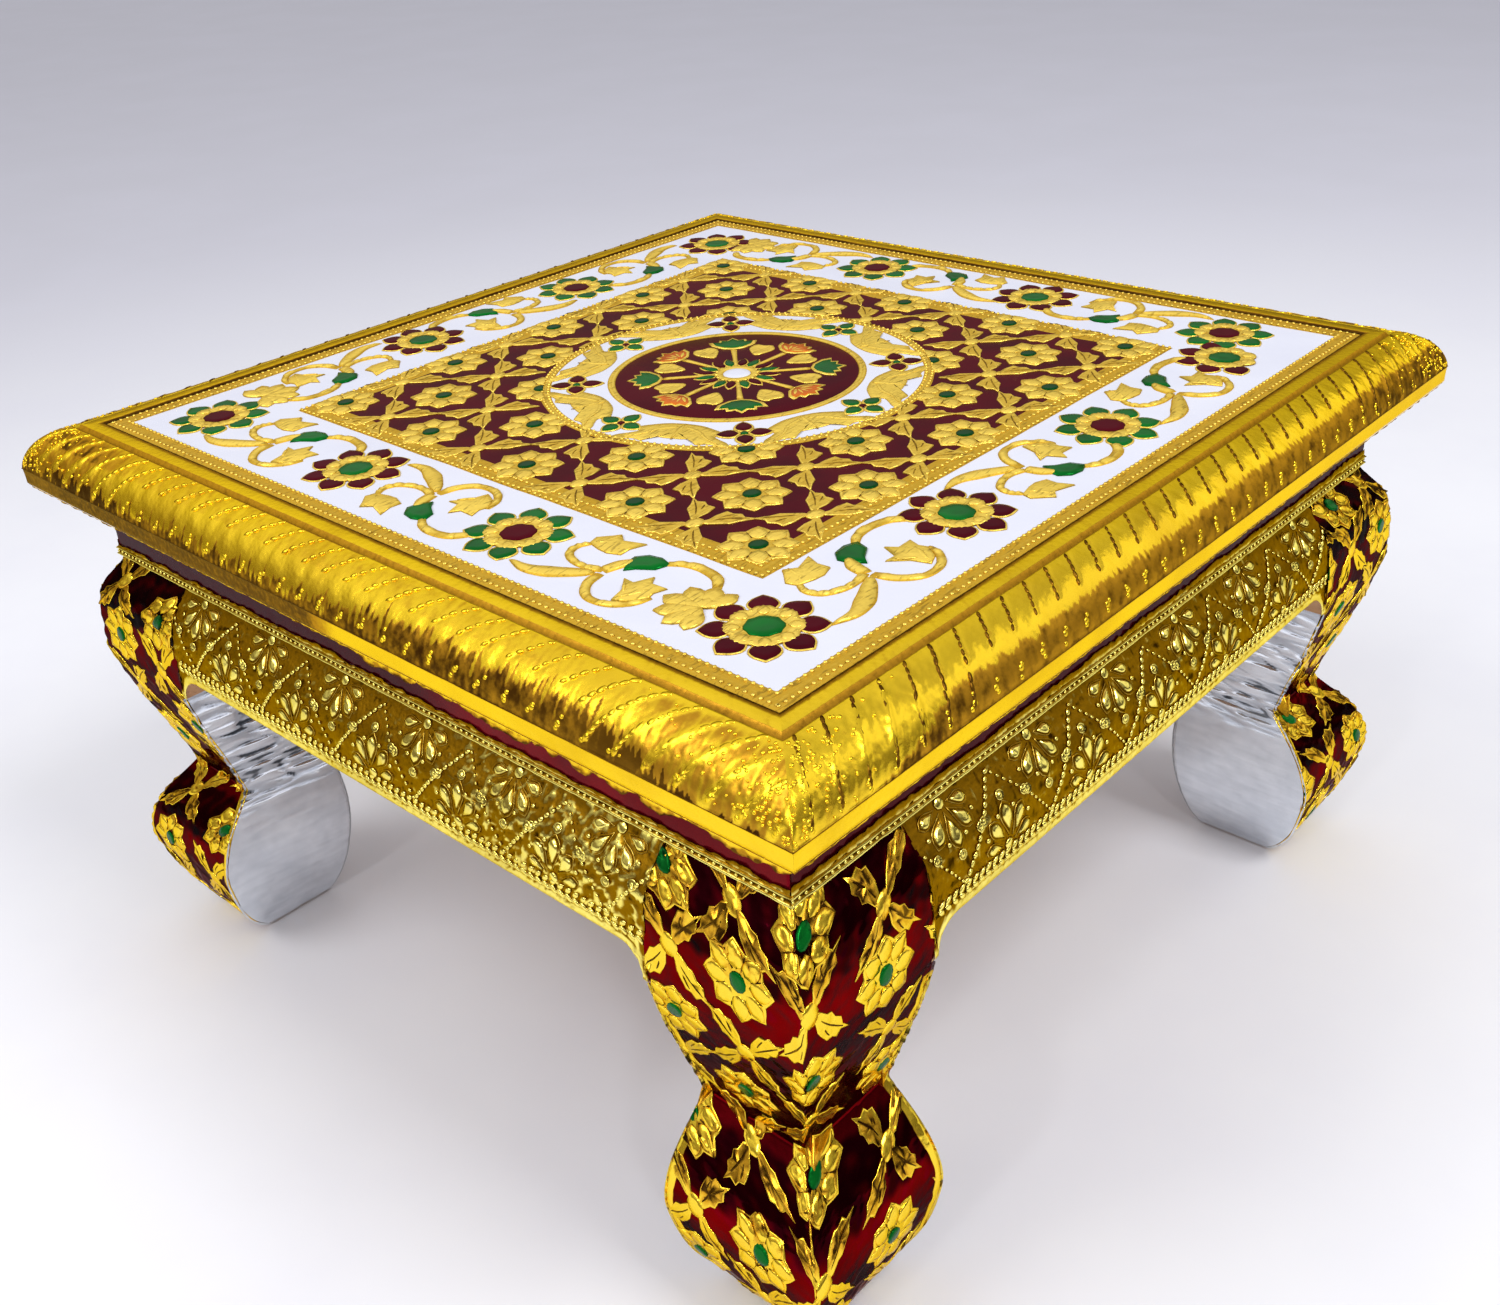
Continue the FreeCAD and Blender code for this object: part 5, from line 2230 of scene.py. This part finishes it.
@dataclass(frozen=True)
class Studio:
    """Pale floor, soft lamps and the camera at the photograph's angle."""

    camera_at: Triple = (0.29966, -0.31264, 0.333)
    right: Triple = (0.74046, 0.66973, -0.0565)
    down: Triple = (0.29898, -0.40351, -0.86475)
    ahead: Triple = (-0.60194, 0.62342, -0.49901)
    focal_share: float = 1527.6 / 1500.0
    sensor: float = 36.0
    floor_half: float = 4.0
    bright_way: Triple = (-0.64, -0.77, 0.0)
    lamps_face: Triple = (0, 0, 0.12)

    def stand(self, made: bpy.types.Object, axes: tuple[Array | Triple, ...], at: Triple) -> None:
        """Place an object by the directions of its three axes and its origin.

        Args:
            made: The object.
            axes: Directions of its x, y and z.
            at: Its origin.
        """
        matrix = np.eye(4)
        matrix[:3, :3] = np.column_stack(axes)
        matrix[:3, 3] = at
        made.matrix_world = Matrix(matrix.tolist())

    def camera(self) -> None:
        """Set the camera from its axes."""
        data = bpy.data.cameras.new("camera")
        data.sensor_width = self.sensor
        data.sensor_fit = "HORIZONTAL"
        data.lens = self.focal_share * self.sensor
        data.clip_start = 0.01
        made = show("camera", data)
        self.stand(made, (self.right, np.negative(self.down), np.negative(self.ahead)), self.camera_at)
        bpy.context.scene.camera = made

    def floor(self) -> None:
        """Lay the floor: white near the table and faintly lilac far away."""
        mesh = bpy.data.meshes.new("floor")
        h = self.floor_half
        mesh.from_pydata([(-h, -h, 0), (h, -h, 0), (h, h, 0), (-h, h, 0)], [], [(0, 1, 2, 3)])
        g = Graph(bpy.data.materials.new("floor_paper"))
        place = g.place()
        length = g.add("VectorMath", {0: place}, operation="LENGTH").outputs["Value"]
        tint = g.mix(g.steps(length, 0.35, 1.1), rgb(232, 233, 238), rgb(206, 206, 216))
        faint = g.noise(place, 9.0, 4.0)
        colour = g.mix(g.steps(faint, 0.3, 0.8), tint, g.mix(0.3, tint, rgb(214, 214, 226)))
        mesh.materials.append(g.finish(Base_Color=colour, Roughness=0.6))
        show("floor", mesh)

    def lamp(self, name: str, at: Triple, size: float, watts: float) -> None:
        """Hang one soft lamp that faces the table.

        Args:
            name: The lamp's name.
            at: Where it hangs.
            size: Side of its square.
            watts: Its power.
        """
        data = bpy.data.lights.new(name, "AREA")
        data.shape = "SQUARE"
        data.size = size
        data.energy = watts
        made = show(name, data)
        made.visible_camera = False
        away = np.array(at) - self.lamps_face
        away /= np.linalg.norm(away)
        side = np.cross((0, 0, 1), away)
        side /= np.linalg.norm(side)
        self.stand(made, (side, np.cross(away, side), away), at)

    def world(self) -> None:
        """Light the room: bright overhead, a dim warm band at eye level."""
        world = bpy.data.worlds.new("room")
        bpy.context.scene.world = world
        g = Graph(world)
        way = g.add("TexCoord").outputs["Generated"]
        ramp_node = g.add("ValToRGB", {0: g.add("SeparateXYZ", {0: way}).outputs["Z"]})
        facing = g.add("VectorMath", {0: way, 1: self.bright_way}, operation="DOT_PRODUCT").outputs["Value"]
        strength = g.spread(facing, (-0.8, 0.1), (0.44, 0.95), "SMOOTHSTEP")
        shade = g.add("Background", {0: ramp_node.outputs[0], "Strength": strength})
        g.add("OutputWorld", {0: shade.outputs[0]})
        stops = (
            (0.0, (0.16, 0.12, 0.09)), (0.22, (0.3, 0.26, 0.22)),
            (0.5, (0.85, 0.85, 0.88)), (1.0, (0.95, 0.95, 1.0)),
        )
        elements = ramp_node.color_ramp.elements
        while len(elements) < len(stops):
            elements.new(0.5)
        for element, (at, colour) in zip(elements, stops):
            element.position = at
            element.color = (*colour, 1.0)

    def build(self) -> None:
        """Set up everything that isn't the table."""
        bpy.context.scene.view_settings.view_transform = "Standard"
        self.world()
        self.floor()
        self.lamp("key", (1.0, 0.1, 1.4), 0.6, 13.0)
        self.lamp("fill", (-0.5, -1.0, 1.3), 0.8, 8.0)
        self.lamp("card", (0.8, 1.28, 0.8), 1.0, 2.3)
        self.lamp("spark_front", (0.25, -1.3, 0.8), 0.12, 2.0)
        self.lamp("spark_right", (1.2, -0.8, 0.9), 0.12, 2.0)
        self.camera()


def main() -> None:
    """Build every part of the table in order, then the studio."""
    logging.basicConfig(level=logging.INFO, format="%(name)s %(message)s")
    for part in (TopSheet(), Moulding(), Neck(), Apron(), Leg()):
        part.build()
        LOG.info("%s built", type(part).__name__)
    WARDROBE.dress_node("top_board", Finish.WOOD)
    for node in ("leg_screws", "board_pins"):
        WARDROBE.dress_node(node, Finish.STEEL)
    Studio().build()


if __name__ == "__main__":
    main()
